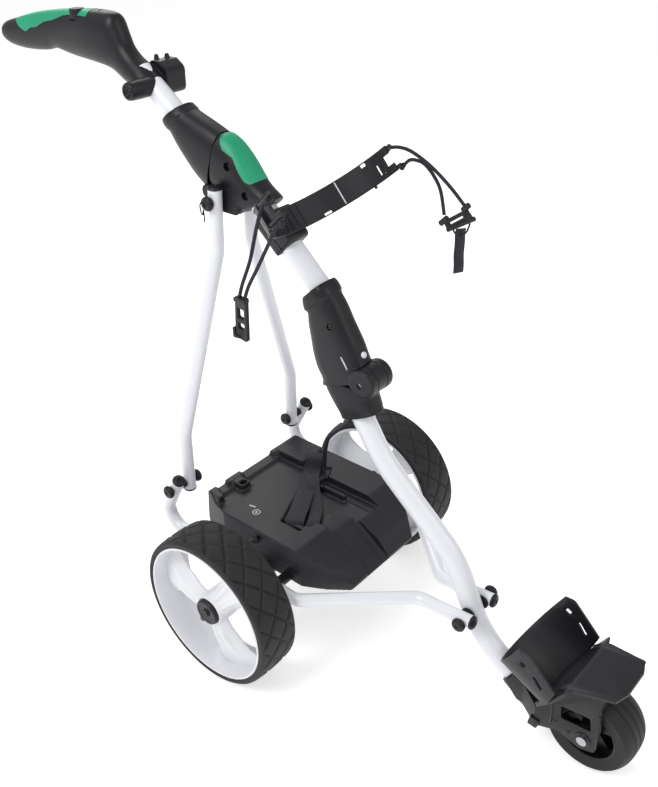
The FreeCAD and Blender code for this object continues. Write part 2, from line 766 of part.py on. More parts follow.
def front_bearings():
    """Two bearing rings pressed into the front hub."""
    pieces = []
    for name, sign in MIRROR_SIDES:
        low = sign * 26 - 5
        pieces.append(collar("front_bearing_" + name, "5", "11", "sizes.fit_gap", low, low + 10,
                             size("front_axle_x"), size("front_radius")))
    return group("front_bearings", pieces)


def bag_base():
    """The lower bag rest: a U-shaped shell, an end wall and a flat lip over the wheel."""
    along = Vector(0.883, 0, -0.469)
    upward = Vector(0.469, 0, 0.883)
    shell = new_body("base_shell")
    outline = [(-80, 116), (-80, 0, 79), (80, 0, 79), (80, 116), (76, 116), (76, 4, 75), (-76, 4, 75),
               (-76, 116)]
    pad(shell, outline, "88", "XY_Plane")
    wing_cut = [(86, -44), (106, -41, 8), (116, -26, 8), (94, 44), (94, 60), (130, 60), (130, -60),
                (86, -60)]
    square_hole = [(83, -22, 1), (92, -22, 1), (92, -13, 1), (83, -13, 1)]
    slot = [(82, 6, 2), (88, 8, 2), (78, 32, 2), (72, 30, 2)]
    for name, corners in (("wing_cut", wing_cut), ("square_hole", square_hole), ("slot", slot)):
        pocket(shell, corner_path(corners, True), "400", "YZ_Plane", name)
    shell.Placement = Placement(side(526, 118) - along * 14, Rotation(ACROSS, upward, along, "ZXY"))
    wall = new_body("base_wall")
    wall_outline = [(555, 97), (559, 94.5), (618, 190.5), (691, 204), (690, 209), (615, 196)]
    pad(wall, wall_outline, "118")
    return join("bag_base", [shell, wall])


# ---------------------------------------------------------------- mast

def mast_hinge_shell():
    """The upper half of the fold hinge, moulded round the foot of the mast tube."""
    body = new_body("mast_shell_blank")
    outline = [(27, 700, 6), (72, 744, 4), (87, 727, 10), (116, 690), (139, 640), (151, 608),
               (163, 583), (70, 547), (48, 583, 40), (36, 652, 40)]
    pad(body, outline, "sizes.shell_width")
    half = size("shell_width") / 2
    gap = "sizes.knuckle_half + 0.3"
    bosses = []
    for name, (low, high) in {"right": (-half, f"-({gap})"), "left": (gap, half)}.items():
        bosses.append(cross_rod("mast_knuckle_" + name, "sizes.knuckle_radius", low, high,
                                *FOLD_PIVOT))
    slot = cross_rod("mast_knuckle_slot", "sizes.knuckle_radius + 0.6", f"-({gap})", gap, *FOLD_PIVOT)
    tip = side(*MID_LINE[1])
    bore = rod("mast_socket", "sizes.spine_diameter / 2 + sizes.fit_gap", "90", tip,
               side(*MID_LINE[0]) - tip)
    pin = cross_rod("mast_pin_bore", "sizes.pin_diameter / 2 + sizes.fit_gap", -60, 60, *FOLD_PIVOT)
    button = rod("button_well", "6 + 2 * sizes.fit_gap", "24", button_seat(-12), BUTTON_OUT)
    slotted = cut("mast_shell_slotted", body, [slot])
    return cut("mast_hinge_shell", join("mast_shell_joined", [slotted] + bosses), [bore, pin, button])


BUTTON_OUT = Vector(0.932, 0, 0.362)


def button_seat(depth):
    """A point on the fold button's axis, measured out from the shell's face."""
    return side(148, 622) + BUTTON_OUT * depth


def fold_button():
    """The white oval button that frees the fold hinge."""
    return rod("fold_button", "6", "9", button_seat(-6.5), BUTTON_OUT)


def hinge_pins():
    """The pins of the spine's fold and of the handle's fold."""
    half = size("shell_width") / 2 - 1
    fold = cross_rod("fold_hinge_pin", "sizes.pin_diameter / 2", -half, half, *FOLD_PIVOT)
    handle = cross_rod("handle_hinge_pin", "3", -half, half, *HANDLE_PIVOT)
    return group("hinge_pins", [fold, handle])


def upper_housing():
    """The housing that joins mast and struts; the handle knuckle folds on its rear."""
    body = new_body("upper_blank")
    outline = [(-172, 838), (-164, 815, 8), (-138, 826, 10), (-104, 817, 5), (-74, 829), (-29, 868, 6),
               (-51, 877), (-68, 891), (-104, 931, 20), (-149, 953), (-176, 866)]
    pad(body, outline, "sizes.shell_width")
    recess = [(-144, 990), (-146.5, 944.5), (-112.5, 923), (-94, 899), (-79, 909), (-60, 945)]
    pocket(body, corner_path(recess, True), "45", "XZ_Plane", "pad_recess")
    half = size("shell_width") / 2
    boss = cross_rod("housing_knuckle", "13", "-sizes.knuckle_half", "sizes.knuckle_half",
                     *HANDLE_PIVOT)
    gap = "sizes.knuckle_half + 0.3"
    clear = []
    for name, (low, high) in {"right": (-half - 1, f"-({gap})"), "left": (gap, half + 1)}.items():
        clear.append(cross_rod("housing_clear_" + name, "13.6", low, high, *HANDLE_PIVOT))
    top = side(*MID_LINE[0])
    bore = rod("housing_socket", "sizes.spine_diameter / 2 + sizes.fit_gap", "120", top,
               side(*MID_LINE[1]) - top)
    bolt = cross_rod("housing_bolt_bore", "sizes.bolt_diameter / 2 + sizes.fit_gap", -60, 60,
                     *STRUT_PIVOT)
    pin = cross_rod("housing_pin_bore", "3 + sizes.fit_gap", -60, 60, *HANDLE_PIVOT)
    cleared = cut("upper_cleared", body, clear)
    return cut("upper_housing", join("upper_joined", [cleared, boss]), [bore, bolt, pin])


def release_pad():
    """The green pad on the upper housing that frees the handle."""
    body = new_body("release_pad")
    outline = [(-141, 958), (-104, 935, 16), (-82, 911), (-89.5, 904), (-110, 927, 16), (-141, 947)]
    return pad(body, outline, "44")


def clamp_frame():
    """Middle, along and up directions of the bag clamp on the mast tube."""
    along = (side(*MID_LINE[1]) - side(*MID_LINE[0])).normalize()
    upward = Vector(-along.z, 0, along.x)
    middle = side(*MID_LINE[0]) + along * 76
    return middle, along, upward


def bag_clamp():
    """The collar that grips the mast tube, with a lug for its knob."""
    middle, along, upward = clamp_frame()
    turn = Rotation(ACROSS, upward, along, "ZXY")
    blank = new_body("clamp_blank")
    outline = [(-25, -27, 10), (25, -27, 10), (25, 31, 3), (-25, 31, 3)]
    pad(blank, outline, "58", "XY_Plane")
    blank.Placement = Placement(middle, turn)
    bore = rod("clamp_bore", "sizes.spine_diameter / 2 + sizes.fit_gap", "120", middle - along * 60,
               along)
    ear = new_body("clamp_ear")
    pad(ear, [(-31, 8, 3), (-31, 28, 3), (-21, 28), (-21, 8)], "36", "XY_Plane")
    ear.Placement = Placement(middle - along * 16, turn)
    hole = rod("clamp_knob_hole", "3 + sizes.fit_gap", "12", clamp_knob_seat() - ACROSS, ACROSS)
    return cut("bag_clamp", join("clamp_joined", [blank, ear]), [bore, hole])


def clamp_knob_seat():
    """Where the clamp's knob meets the outer face of its ear."""
    middle, along, upward = clamp_frame()
    return middle - ACROSS * 31.2 + upward * 18 - along * 18


def clamp_knob():
    """The knob that tightens the clamp, on its own screw."""
    outline = [(0, -8), (3, -8), (3, 0), (11, 0), (11, 11, 3), (0, 11)]
    return turned("clamp_knob", outline, clamp_knob_seat(), -ACROSS)


def bag_cradle():
    """The half-round band that the top of the bag rests in."""
    middle, along, upward = clamp_frame()
    outer = size("cradle_radius") + size("cradle_thick")
    inner = size("cradle_radius")
    body = new_body("bag_cradle")
    outline = [(-outer, outer), (-outer, 0, outer - 0.5), (outer, 0, outer - 0.5), (outer, outer),
               (inner, outer), (inner, outer - inner, inner - 0.5),
               (-inner, outer - inner, inner - 0.5), (-inner, outer)]
    pad(body, outline, "sizes.cradle_width", "XY_Plane")
    lean = math.radians(6.2)
    leaning_up = upward * math.cos(lean) + along * math.sin(lean)
    leaning_along = along * math.cos(lean) - upward * math.sin(lean)
    turn = Rotation(ACROSS, leaning_up, leaning_along, "ZXY")
    body.Placement = Placement(middle + upward * 34.2, turn)
    return body


def bag_cords():
    """Elastic cords: two hang from the right cradle end and two arch from the left."""
    lines = [
        [(78, -149, 918), (44, -150, 820), (6, -146, 748)],
        [(104, -149, 889), (60, -150, 812), (18, -146, 748)],
        [(84, 150, 931), (128, 148, 935), (187, 144, 909), (246, 141, 866)],
        [(114, 150, 905), (150, 148, 925), (190, 144, 895), (208, 141, 846)],
    ]
    pieces = []
    for index, points in enumerate(lines):
        piece = doc.addObject("Part::Feature", f"cord_{index}")
        bends = [20] * (len(points) - 2)
        places = [side(x, z, y) for x, y, z in points]
        piece.Shape = polyline_tube(places, bends, size("cord_radius"))
        piece.Placement = Placement()
        pieces.append(piece)
    return group("bag_cords", pieces)


def cord_hook():
    """The hook that joins the right-hand cords."""
    return block("cord_hook", Vector(-8, -152, 672), "32", "12", "72")


def cord_buckle():
    """The buckle between the left-hand cords and the webbing tail."""
    body = new_body("cord_buckle", 141)
    return pad(body, [(204, 834), (250, 861), (264, 844), (214, 816)], "8")


def webbing_tail():
    """The webbing tail that hangs from the buckle."""
    return block("webbing_tail", Vector(237, 131, 748), "2.5", "19", "78")


# ---------------------------------------------------------------- handle

def handle_knuckle():
    """The long shell round the handle shaft; its foot folds on the upper housing."""
    body = new_body("knuckle_blank")
    outline = [(-177.5, 868), (-186, 845, 4), (-223, 875), (-286, 931), (-302, 947, 6), (-240, 991, 6),
               (-226, 983), (-151, 954)]
    pad(body, outline, "sizes.shell_width")
    half = size("shell_width") / 2
    gap = "sizes.knuckle_half + 0.3"
    bosses = []
    for name, (low, high) in {"right": (-half, f"-({gap})"), "left": (gap, half)}.items():
        bosses.append(cross_rod("handle_boss_" + name, "13", low, high, *HANDLE_PIVOT))
    slot = cross_rod("handle_slot", "13.6", f"-({gap})", gap, *HANDLE_PIVOT)
    foot = side(*SHAFT_LINE[0])
    bore = rod("handle_socket", "sizes.spine_diameter / 2 + sizes.fit_gap", "150", foot,
               side(*SHAFT_LINE[1]) - foot)
    pin = cross_rod("handle_pin_bore", "3 + sizes.fit_gap", -60, 60, *HANDLE_PIVOT)
    slotted = cut("knuckle_slotted", body, [slot])
    return cut("handle_knuckle", join("knuckle_joined", [slotted] + bosses), [bore, pin])


def grip_outline():
    """Side outline of the handle moulding."""
    return [(-767, 1055, 9), (-728, 1037, 20), (-670, 1037, 30), (-602, 1047, 40), (-533, 1039, 30),
            (-426, 1031, 30), (-384, 1008, 12), (-331, 1000, 4), (-322, 1050, 8), (-375, 1082, 20),
            (-387, 1119, 16), (-436, 1126, 20), (-537, 1121, 60), (-629, 1110, 60), (-735, 1084, 30)]


DIAL_PLACE = (-505, -9, 1114)
POWER_PLACE = (-440, 0, 1118)


def handle_shell(name, sign):
    """One half of the handle moulding, with half of the cross bar at its foot."""
    label = "handle_shell_" + name
    body = new_body(label + "_grip", sign * size("handle_width") / 4)
    pad(body, grip_outline(), "sizes.handle_width / 2")
    low, high = (0, 63) if sign > 0 else (-63, 0)
    bar = cross_rod(label + "_bar", "16", low, high, -321, 1010)
    shaft = side(*SHAFT_LINE[1])
    run = side(*SHAFT_LINE[0]) - shaft
    bore = rod(label + "_bore", "sizes.spine_diameter / 2 + sizes.fit_gap", "180",
               shaft - run.normalize() * 2, run)
    sleeve = rod(label + "_sleeve", "27", "34", shaft + run * 20, run)
    other = block(label + "_other", Vector(-900, 0 if sign < 0 else -100, 900), "700", "100", "300")
    pad_well = new_body(label + "_well")
    pad(pad_well, inlay_outline(), "36.2")
    tools = [bore, pad_well, other]
    tools.append(rod(label + "_dial_well", "sizes.dial_radius + 0.4", "30",
                     Vector(DIAL_PLACE[0], DIAL_PLACE[1], DIAL_PLACE[2] - 8), Vector(0, 0, 1)))
    tools.append(rod(label + "_power_well", "8.1", "30",
                     Vector(POWER_PLACE[0], POWER_PLACE[1], POWER_PLACE[2] - 4), Vector(0, 0, 1)))
    solids = [body, bar, sleeve]
    if sign > 0:
        solids.append(block(label + "_catch", Vector(-350, 20, 990), "40", "43", "56"))
    return cut(label, join(label + "_joined", solids), tools)


def inlay_outline():
    """Side outline of the green grip inlay."""
    return [(-718, 1093), (-629, 1114, 60), (-537, 1124, 60), (-480, 1127), (-480, 1112),
            (-537, 1109, 60), (-629, 1097, 60), (-706, 1076)]


def grip_inlay():
    """The soft green inlay along the top of the grip."""
    body = new_body("inlay_blank")
    pad(body, inlay_outline(), "36")
    well = rod("inlay_dial_well", "sizes.dial_radius + 0.4", "40",
               Vector(DIAL_PLACE[0], DIAL_PLACE[1], DIAL_PLACE[2] - 10), Vector(0, 0, 1))
    return cut("grip_inlay", body, [well])


def speed_dial():
    """The thumb dial that sets the speed."""
    radius = size("dial_radius")
    outline = [(0, -7.9), (radius, -7.9), (radius, 12, 3), (0, 12)]
    return turned("speed_dial", outline, Vector(*DIAL_PLACE), Vector(0, 0, 1))


def power_button():
    """The power button at the front of the grip."""
    return rod("power_button", "8", "10", Vector(POWER_PLACE[0], POWER_PLACE[1], POWER_PLACE[2] - 1),
               Vector(0, 0, 1))


# ---------------------------------------------------------------- assembly

def build_all():
    """Makes every sub-part."""
    for name, sign in MIRROR_SIDES:
        for make in (rail, strut, rear_tyre, rear_rim, hub_cap, wheel_button, handle_shell):
            keep(make(name, sign))
    keep(gearbox_half("gearbox_case", -1))
    keep(gearbox_half("gearbox_cover", 1))
    keep(straight_tube("mid_spine_tube", MID_LINE))
    keep(straight_tube("handle_shaft_tube", SHAFT_LINE))
    for make in (
        lower_spine_tube, rail_plugs, strut_plugs, rail_bolts, rail_spacers, rail_knobs,
        strut_foot_knobs, strut_top_bolt, strut_top_knobs,
        rear_axle, drive_gear, motor_pinion, motor, axle_housings, axle_bearings,
        battery_tray, battery_strap, controller_box, power_lead, leg_hinge_shell, front_bracket,
        front_axle_bolt, front_rim, front_tyre, front_bearings, bag_base, mast_hinge_shell,
        fold_button, hinge_pins, upper_housing, release_pad, bag_clamp,
        clamp_knob, bag_cradle, bag_cords, cord_hook, cord_buckle,
        webbing_tail, handle_knuckle, grip_inlay, speed_dial, power_button,
    ):
        keep(make())


build_all()
doc.recompute()

for thing in doc.Objects:
    if "Invalid" in thing.State or "Error" in thing.State:
        raise RuntimeError(f"{thing.Label} is {thing.State}")
for piece in sub_parts:
    if piece.Shape.isNull() or not piece.Shape.isValid():
        raise RuntimeError(f"{piece.Label} has no valid shape")


def middle_of_length():
    """The x halfway between the rearmost and the foremost point of all sub-parts."""
    boxes = [piece.Shape.optimalBoundingBox(False, False) for piece in sub_parts]
    return (min(box.XMin for box in boxes) + max(box.XMax for box in boxes)) / 2


forwards = Vector(-middle_of_length(), 0, 0)
for piece in sub_parts:
    piece.Shape.translated(forwards).exportStep(f"parts/{piece.Label}.step")
print(len(sub_parts), "sub-parts written, moved forwards by", round(forwards.x, 3))
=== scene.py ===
import math

import bmesh
import bpy
from mathutils import Matrix, Vector


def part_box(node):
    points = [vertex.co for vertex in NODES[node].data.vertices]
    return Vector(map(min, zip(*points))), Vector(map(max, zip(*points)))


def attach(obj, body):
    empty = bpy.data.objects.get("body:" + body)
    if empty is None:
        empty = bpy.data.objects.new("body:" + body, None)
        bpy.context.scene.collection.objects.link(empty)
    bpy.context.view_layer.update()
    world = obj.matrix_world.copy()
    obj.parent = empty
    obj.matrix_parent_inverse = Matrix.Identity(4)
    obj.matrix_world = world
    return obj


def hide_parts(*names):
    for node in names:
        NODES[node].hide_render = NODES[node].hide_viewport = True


# Electric golf trolley. Shapes are written in millimetres: +X forwards, +Y to the trolley's
# left, +Z up, from the ground under the middle of the rear axle. FORWARDS carries them to the
# CAD frame, whose origin lies elsewhere along X.

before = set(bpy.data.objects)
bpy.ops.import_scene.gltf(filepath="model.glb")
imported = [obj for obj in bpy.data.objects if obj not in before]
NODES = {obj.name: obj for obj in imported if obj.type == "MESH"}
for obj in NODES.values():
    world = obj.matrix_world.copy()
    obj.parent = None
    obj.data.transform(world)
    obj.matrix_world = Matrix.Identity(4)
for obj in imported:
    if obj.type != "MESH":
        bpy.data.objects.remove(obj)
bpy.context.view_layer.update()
MM = 0.001
FORWARDS = Vector((sum(corner[0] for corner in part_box("rear_axle")) / 2, 0, 0))
Y_AXIS = Vector((0, 1, 0))
SIDES = (("right", -1), ("left", 1))
AXLE_Z = 155


# ---------------------------------------------------------------- materials

def linear(red, green, blue):
    """A colour given as 0-255 screen values, as scene linear values."""
    return tuple((channel / 255) ** 2.2 for channel in (red, green, blue)) + (1,)


def fill(tree, node, inputs):
    """Sets a shader node's inputs; one that is another node's output is linked."""
    for name, value in inputs.items():
        if isinstance(value, bpy.types.NodeSocket):
            tree.links.new(value, node.inputs[name])
        else:
            node.inputs[name].default_value = value


def add_node(tree, kind, inputs, **settings):
    """A new shader node's outputs, with its settings and inputs filled in."""
    made = tree.nodes.new("ShaderNode" + kind)
    for name, value in settings.items():
        setattr(made, name, value)
    fill(tree, made, inputs)
    return made.outputs


def mix(tree, factor, first, second):
    """The output of a colour mix."""
    return add_node(tree, "Mix", {0: factor, 6: first, 7: second}, data_type="RGBA")[2]


def material(name, colour, rough, grain=900, bump=0.08, spread=0.12, metal=0.0, coat=0.0,
             wear=0.0, pattern=None, sheen=0.0, shine=0.5):
    """A procedural material: mottled colour, varied roughness, fine grain and worn edges.

    A pattern is (first direction, scale, second direction) of two crossed waves, for a weave.
    """
    made = bpy.data.materials.new(name)
    made.use_nodes = True
    tree = made.node_tree

    def tone(factor, lift=0.0):
        """The colour times a factor, plus a lift."""
        return tuple(min(1, channel * factor + lift) for channel in colour[:3]) + (1,)

    place = add_node(tree, "TexCoord", {})["Object"]
    cloud = add_node(tree, "TexNoise", {"Scale": 18, "Detail": 4, "Vector": place})["Fac"]
    grit = add_node(tree, "TexNoise", {"Scale": grain, "Detail": 3, "Vector": place})["Fac"]
    paint = mix(tree, cloud, tone(1 - spread), tone(1 + spread))
    if pattern:
        wave = add_node(tree, "TexWave", {"Scale": pattern[1], "Distortion": 0.4, "Vector": place},
                        bands_direction=pattern[0])["Fac"]
        cross = add_node(tree, "TexWave", {"Scale": pattern[1] * 0.6, "Vector": place},
                         bands_direction=pattern[2])["Fac"]
        grit = add_node(tree, "Math", {0: wave, 1: cross}, operation="MULTIPLY")[0]
        paint = mix(tree, grit, tone(0.55), paint)
    if wear:
        ramp = tree.nodes.new("ShaderNodeValToRGB")
        ramp.color_ramp.elements[0].position = 0.53
        ramp.color_ramp.elements[1].position = 0.62
        fill(tree, ramp, {"Fac": add_node(tree, "NewGeometry", {})["Pointiness"]})
        paint = mix(tree, ramp.outputs["Color"], paint, tone(1, wear))
    span = add_node(tree, "MapRange", {"To Min": max(0.04, rough - 0.07),
                                       "To Max": min(1, rough + 0.07), "Value": cloud})["Result"]
    relief = add_node(tree, "Bump", {"Strength": bump, "Distance": 0.0006, "Height": grit})["Normal"]
    fill(tree, tree.nodes["Principled BSDF"], {
        "Base Color": paint, "Roughness": span, "Normal": relief, "Metallic": metal,
        "Coat Weight": coat, "Coat Roughness": 0.12, "Sheen Weight": sheen,
        "Specular IOR Level": shine,
    })
    return made


MATERIALS = {
    "white_paint": material("white_paint", linear(222, 224, 229), 0.3, 260, 0.03, 0.02, coat=0.35),
    "black_plastic": material("black_plastic", linear(27, 27, 31), 0.4, 1500, 0.22, 0.14, wear=0.012,
                              shine=0.34),
    "tray_plastic": material("tray_plastic", linear(32, 32, 36), 0.46, 1100, 0.3, 0.16, wear=0.014,
                             shine=0.4),
    "green_rubber": material("green_rubber", linear(30, 146, 108), 0.45, 1300, 0.2, 0.1, shine=0.4),
    "white_plastic": material("white_plastic", linear(219, 220, 224), 0.38, 500, 0.06, 0.02),
    "tyre": material("tyre", linear(37, 36, 38), 0.62, 800, 0.3, 0.16, wear=0.012, shine=0.36),
    "steel": material("steel", linear(176, 178, 182), 0.3, 700, 0.12, 0.08, metal=1.0),
    "gear_steel": material("gear_steel", linear(140, 142, 148), 0.35, 700, 0.12, 0.1, metal=1.0),
    "black_steel": material("black_steel", linear(26, 26, 29), 0.34, 900, 0.15, 0.12, shine=0.45),
    "webbing": material("webbing", linear(24, 27, 38), 0.8, 900, 0.9, 0.1, sheen=0.12,
                        pattern=("X", 420, "Y")),
    "cord": material("cord", linear(30, 34, 46), 0.7, 900, 0.7, 0.1, pattern=("DIAGONAL", 300, "Z")),
    "rim_black": material("rim_black", linear(24, 23, 25), 0.38, 900, 0.1, 0.12, shine=0.36),
    "pale_mark": material("pale_mark", linear(190, 192, 194), 0.5, 900, 0.1, 0.04),
}


# ---------------------------------------------------------------- mesh building

def vec(x, y, z):
    """A point in millimetres."""
    return Vector((x, y, z))


def raw(name, points, faces):
    """A mesh object from points in millimetres, not yet on any body."""
    mesh = bpy.data.meshes.new(name)
    mesh.from_pydata([Vector(point) * MM + FORWARDS for point in points], [], faces)
    mesh.validate()
    made = bpy.data.objects.new(name, mesh)
    bpy.context.scene.collection.objects.link(made)
    edit = bmesh.new()
    edit.from_mesh(mesh)
    bmesh.ops.recalc_face_normals(edit, faces=edit.faces)
    edit.to_mesh(mesh)
    edit.free()
    return made


def settle(obj):
    """Applies an object's modifiers to its mesh."""
    graph = bpy.context.evaluated_depsgraph_get()
    graph.update()
    mesh = bpy.data.meshes.new_from_object(obj.evaluated_get(graph), depsgraph=graph)
    obj.modifiers.clear()
    obj.data = mesh
    return obj


def drop(*objects):
    """Removes helper objects."""
    for obj in objects:
        bpy.data.objects.remove(obj)


def box_of(mesh):
    """The lowest and highest coordinates of a mesh."""
    columns = list(zip(*(vertex.co for vertex in mesh.vertices))) or [(9, -9)] * 3
    return [min(column) for column in columns], [max(column) for column in columns]


def within(mesh, outer):
    """Whether a mesh has vertices and none of them lies outside another mesh's box."""
    low, high = box_of(mesh)
    outer_low, outer_high = box_of(outer)
    slack = 0.02 * MM
    inside = [outer_low[axis] - slack <= low[axis] <= high[axis] <= outer_high[axis] + slack
              for axis in range(3)]
    return all(inside)


NUDGE = Vector((0.023, 0.017, 0.029)) * MM


def combine(base, others, operation):
    """A boolean of one object with helpers, which are then removed.

    A cut can fail where faces nearly touch, and then it leaves the tool standing outside the
    base. It is tried again with the tool moved by a few hundredths of a millimetre.
    """
    for other in others:
        before = base.data.copy()
        for attempt in range(6):
            other.location = NUDGE * attempt
            step = base.modifiers.new("boolean", "BOOLEAN")
            step.operation = operation
            step.solver = "EXACT"
            step.object = other
            settle(base)
            if operation == "UNION" or within(base.data, before):
                break
            base.data = before.copy()
        drop(other)
    return base


def carve(base, *tools):
    """The base less the tools."""
    return combine(base, tools, "DIFFERENCE")


def fuse(base, *others):
    """The base and the others as one solid."""
    return combine(base, others, "UNION")


def merge(name, objects):
    """Several objects' meshes in one object, without a boolean."""
    edit = bmesh.new()
    for obj in objects:
        edit.from_mesh(obj.data)
    mesh = bpy.data.meshes.new(name)
    edit.to_mesh(mesh)
    edit.free()
    made = bpy.data.objects.new(name, mesh)
    bpy.context.scene.collection.objects.link(made)
    drop(*objects)
    return made


def bevel(obj, width, segments=3, angle=35):
    """Rounds the edges of an object."""
    step = obj.modifiers.new("bevel", "BEVEL")
    step.width = width * MM
    step.segments = segments
    step.limit_method = "ANGLE"
    step.angle_limit = math.radians(angle)
    step.harden_normals = False
    return settle(obj)


def remesh(obj, voxel, smooth=4):
    """A skin of even quads with softened edges, as on a moulding."""
    step = obj.modifiers.new("remesh", "REMESH")
    step.mode = "VOXEL"
    step.voxel_size = voxel * MM
    soften = obj.modifiers.new("smooth", "SMOOTH")
    soften.factor = 0.5
    soften.iterations = smooth
    return settle(obj)


def shade(obj, angle=40):
    """Smooth shading, with edges sharper than an angle kept crisp."""
    edit = bmesh.new()
    edit.from_mesh(obj.data)
    limit = math.radians(angle)
    for face in edit.faces:
        face.smooth = True
    for edge in edit.edges:
        edge.smooth = len(edge.link_faces) != 2 or edge.calc_face_angle(0) < limit
    edit.to_mesh(obj.data)
    edit.free()
    return obj


def finish_piece(obj, name, body, slot, replaced=(), look=None, angle=40):
    """Names a piece, gives it its finish and puts it on its body."""
    obj.name = name
    obj.data.name = name
    obj.data.materials.clear()
    obj.data.materials.append(MATERIALS[look or slot])
    shade(obj, angle)
    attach(obj, body)
    if replaced:
        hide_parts(*replaced)
    return obj


def rounded(corners, steps=5):
    """Corner points (u, v) or (u, v, radius) with the radii cut into short edges."""
    points = []
    count = len(corners)
    for index, corner in enumerate(corners):
        point = Vector(corner[:2])
        radius = corner[2] if len(corner) > 2 else 0
        if not radius:
            points.append(point)
            continue
        before = (Vector(corners[index - 1][:2]) - point).normalized()
        after = (Vector(corners[(index + 1) % count][:2]) - point).normalized()
        half = before.angle(after) / 2
        reach = radius / math.tan(half)
        centre = point + (before + after).normalized() * (radius / math.sin(half))
        start = point + before * reach - centre
        stop = point + after * reach - centre
        sweep = start.angle_signed(stop)
        for step in range(steps + 1):
            turn = -sweep * step / steps
            points.append(centre + Vector((start.x * math.cos(turn) - start.y * math.sin(turn),
                                           start.x * math.sin(turn) + start.y * math.cos(turn))))
    return points


def slab(name, corners, low, high, place=None, steps=5):
    """An outline in u, v pushed from low to high along w; place maps (u, v, w) to the frame."""
    outline = rounded(corners, steps)
    place = place or (lambda u, v, w: vec(u, w, v))
    count = len(outline)
    points = [place(p.x, p.y, low) for p in outline] + [place(p.x, p.y, high) for p in outline]
    faces = [list(range(count)), list(range(2 * count - 1, count - 1, -1))]
    for index in range(count):
        after = (index + 1) % count
        faces.append([index, index + count, after + count, after])
    return raw(name, points, faces)


def from_above(u, v, w):
    """Outline in plan, pushed upwards."""
    return vec(u, v, w)


def brick(name, low, high):
    """A box from its lowest to its highest corner."""
    return slab(name, [(low[0], low[2]), (high[0], low[2]), (high[0], high[2]), (low[0], high[2])],
                low[1], high[1])


def across(direction):
    """Two directions square to one another and to a direction."""
    direction = Vector(direction).normalized()
    helper = Vector((0, 0, 1)) if abs(direction.z) < 0.9 else Vector((1, 0, 0))
    first = direction.cross(helper).normalized()
    return first, direction.cross(first).normalized()


def lathe(name, outline, origin, direction, steps=48, closed=False):
    """Turns (radius, distance) points about an axis; a closed outline makes a ring."""
    direction = Vector(direction).normalized()
    first, second = across(direction)
    origin = Vector(origin)
    points = []
    rings = []
    for radius, distance in outline:
        centre = origin + direction * distance
        if radius < 1e-6:
            rings.append([len(points)] * steps)
            points.append(centre)
            continue
        rings.append(list(range(len(points), len(points) + steps)))
        for step in range(steps):
            turn = 2 * math.pi * step / steps
            points.append(centre + (first * math.cos(turn) + second * math.sin(turn)) * radius)
    faces = []
    pairs = list(zip(rings, rings[1:])) + ([(rings[-1], rings[0])] if closed else [])
    for low, high in pairs:
        for step in range(steps):
            after = (step + 1) % steps
            face = [low[step], low[after], high[after], high[step]]
            faces.append(list(dict.fromkeys(face)))
    if not closed:
        for ring in (rings[0], rings[-1]):
            if len(set(ring)) > 1:
                faces.append(ring)
    return raw(name, points, faces)


def rod(name, radius, start, stop, steps=32):
    """A round bar between two points."""
    start = Vector(start)
    run = Vector(stop) - start
    return lathe(name, [(radius, 0), (radius, run.length)], start, run, steps)


def smooth_path(points, steps=6):
    """A Catmull-Rom line through points, as tuples of any length."""
    out = []
    count = len(points)
    for index in range(count - 1):
        around = [points[max(0, min(count - 1, index + shift))] for shift in (-1, 0, 1, 2)]
        for step in range(steps):
            t = step / steps
            row = []
            for a, b, c, d in zip(*around):
                row.append(0.5 * (2 * b + (c - a) * t + (2 * a - 5 * b + 4 * c - d) * t * t
                                  + (3 * b - a - 3 * c + d) * t ** 3))
            out.append(tuple(row))
    out.append(tuple(points[-1]))
    return out


def sweep(name, points, shape, wide=None, closed_ends=True):
    """A cross-section of (u, v) points carried along a line; u lies along wide."""
    points = [Vector(point) for point in points]
    wide = Vector(wide) if wide else None
    rings = []
    made = []
    last = None
    for index, point in enumerate(points):
        run = (points[min(index + 1, len(points) - 1)] - points[max(index - 1, 0)]).normalized()
        if wide:
            first = (wide - run * wide.dot(run)).normalized()
        elif last is None:
            first = across(run)[0]
        else:
            first = (last - run * last.dot(run)).normalized()
        last = first
        second = run.cross(first)
        rings.append(list(range(len(made), len(made) + len(shape))))
        made += [point + first * u + second * v for u, v in shape]
    faces = []
    for low, high in zip(rings, rings[1:]):
        for step in range(len(shape)):
            after = (step + 1) % len(shape)
            faces.append([low[step], low[after], high[after], high[step]])
    if closed_ends:
        faces += [rings[0], rings[-1]]
    return raw(name, made, faces)


def round_shape(radius, steps=12):
    """A circle as a cross-section."""
    turns = [2 * math.pi * step / steps for step in range(steps)]
    return [(radius * math.cos(turn), radius * math.sin(turn)) for turn in turns]


def two_skins(rows, lanes):
    """Faces over rows of points, each row an outer and an inner line, with all edges closed."""
    faces = []
    width = lanes + 1
    for row in range(rows - 1):
        here, there = row * 2 * width, (row + 1) * 2 * width
        for lane in range(lanes):
            faces.append([here + lane, here + lane + 1, there + lane + 1, there + lane])
            faces.append([here + width + lane, there + width + lane, there + width + lane + 1,
                          here + width + lane + 1])
        for lane in (0, lanes):
            faces.append([here + lane, there + lane, there + width + lane, here + width + lane])
    for start in (0, (rows - 1) * 2 * width):
        for lane in range(lanes):
            faces.append([start + lane, start + lane + 1, start + width + lane + 1,
                          start + width + lane])
    return faces


def power(value, exponent):
    """A signed power, for superellipses."""
    return math.copysign(abs(value) ** exponent, value)


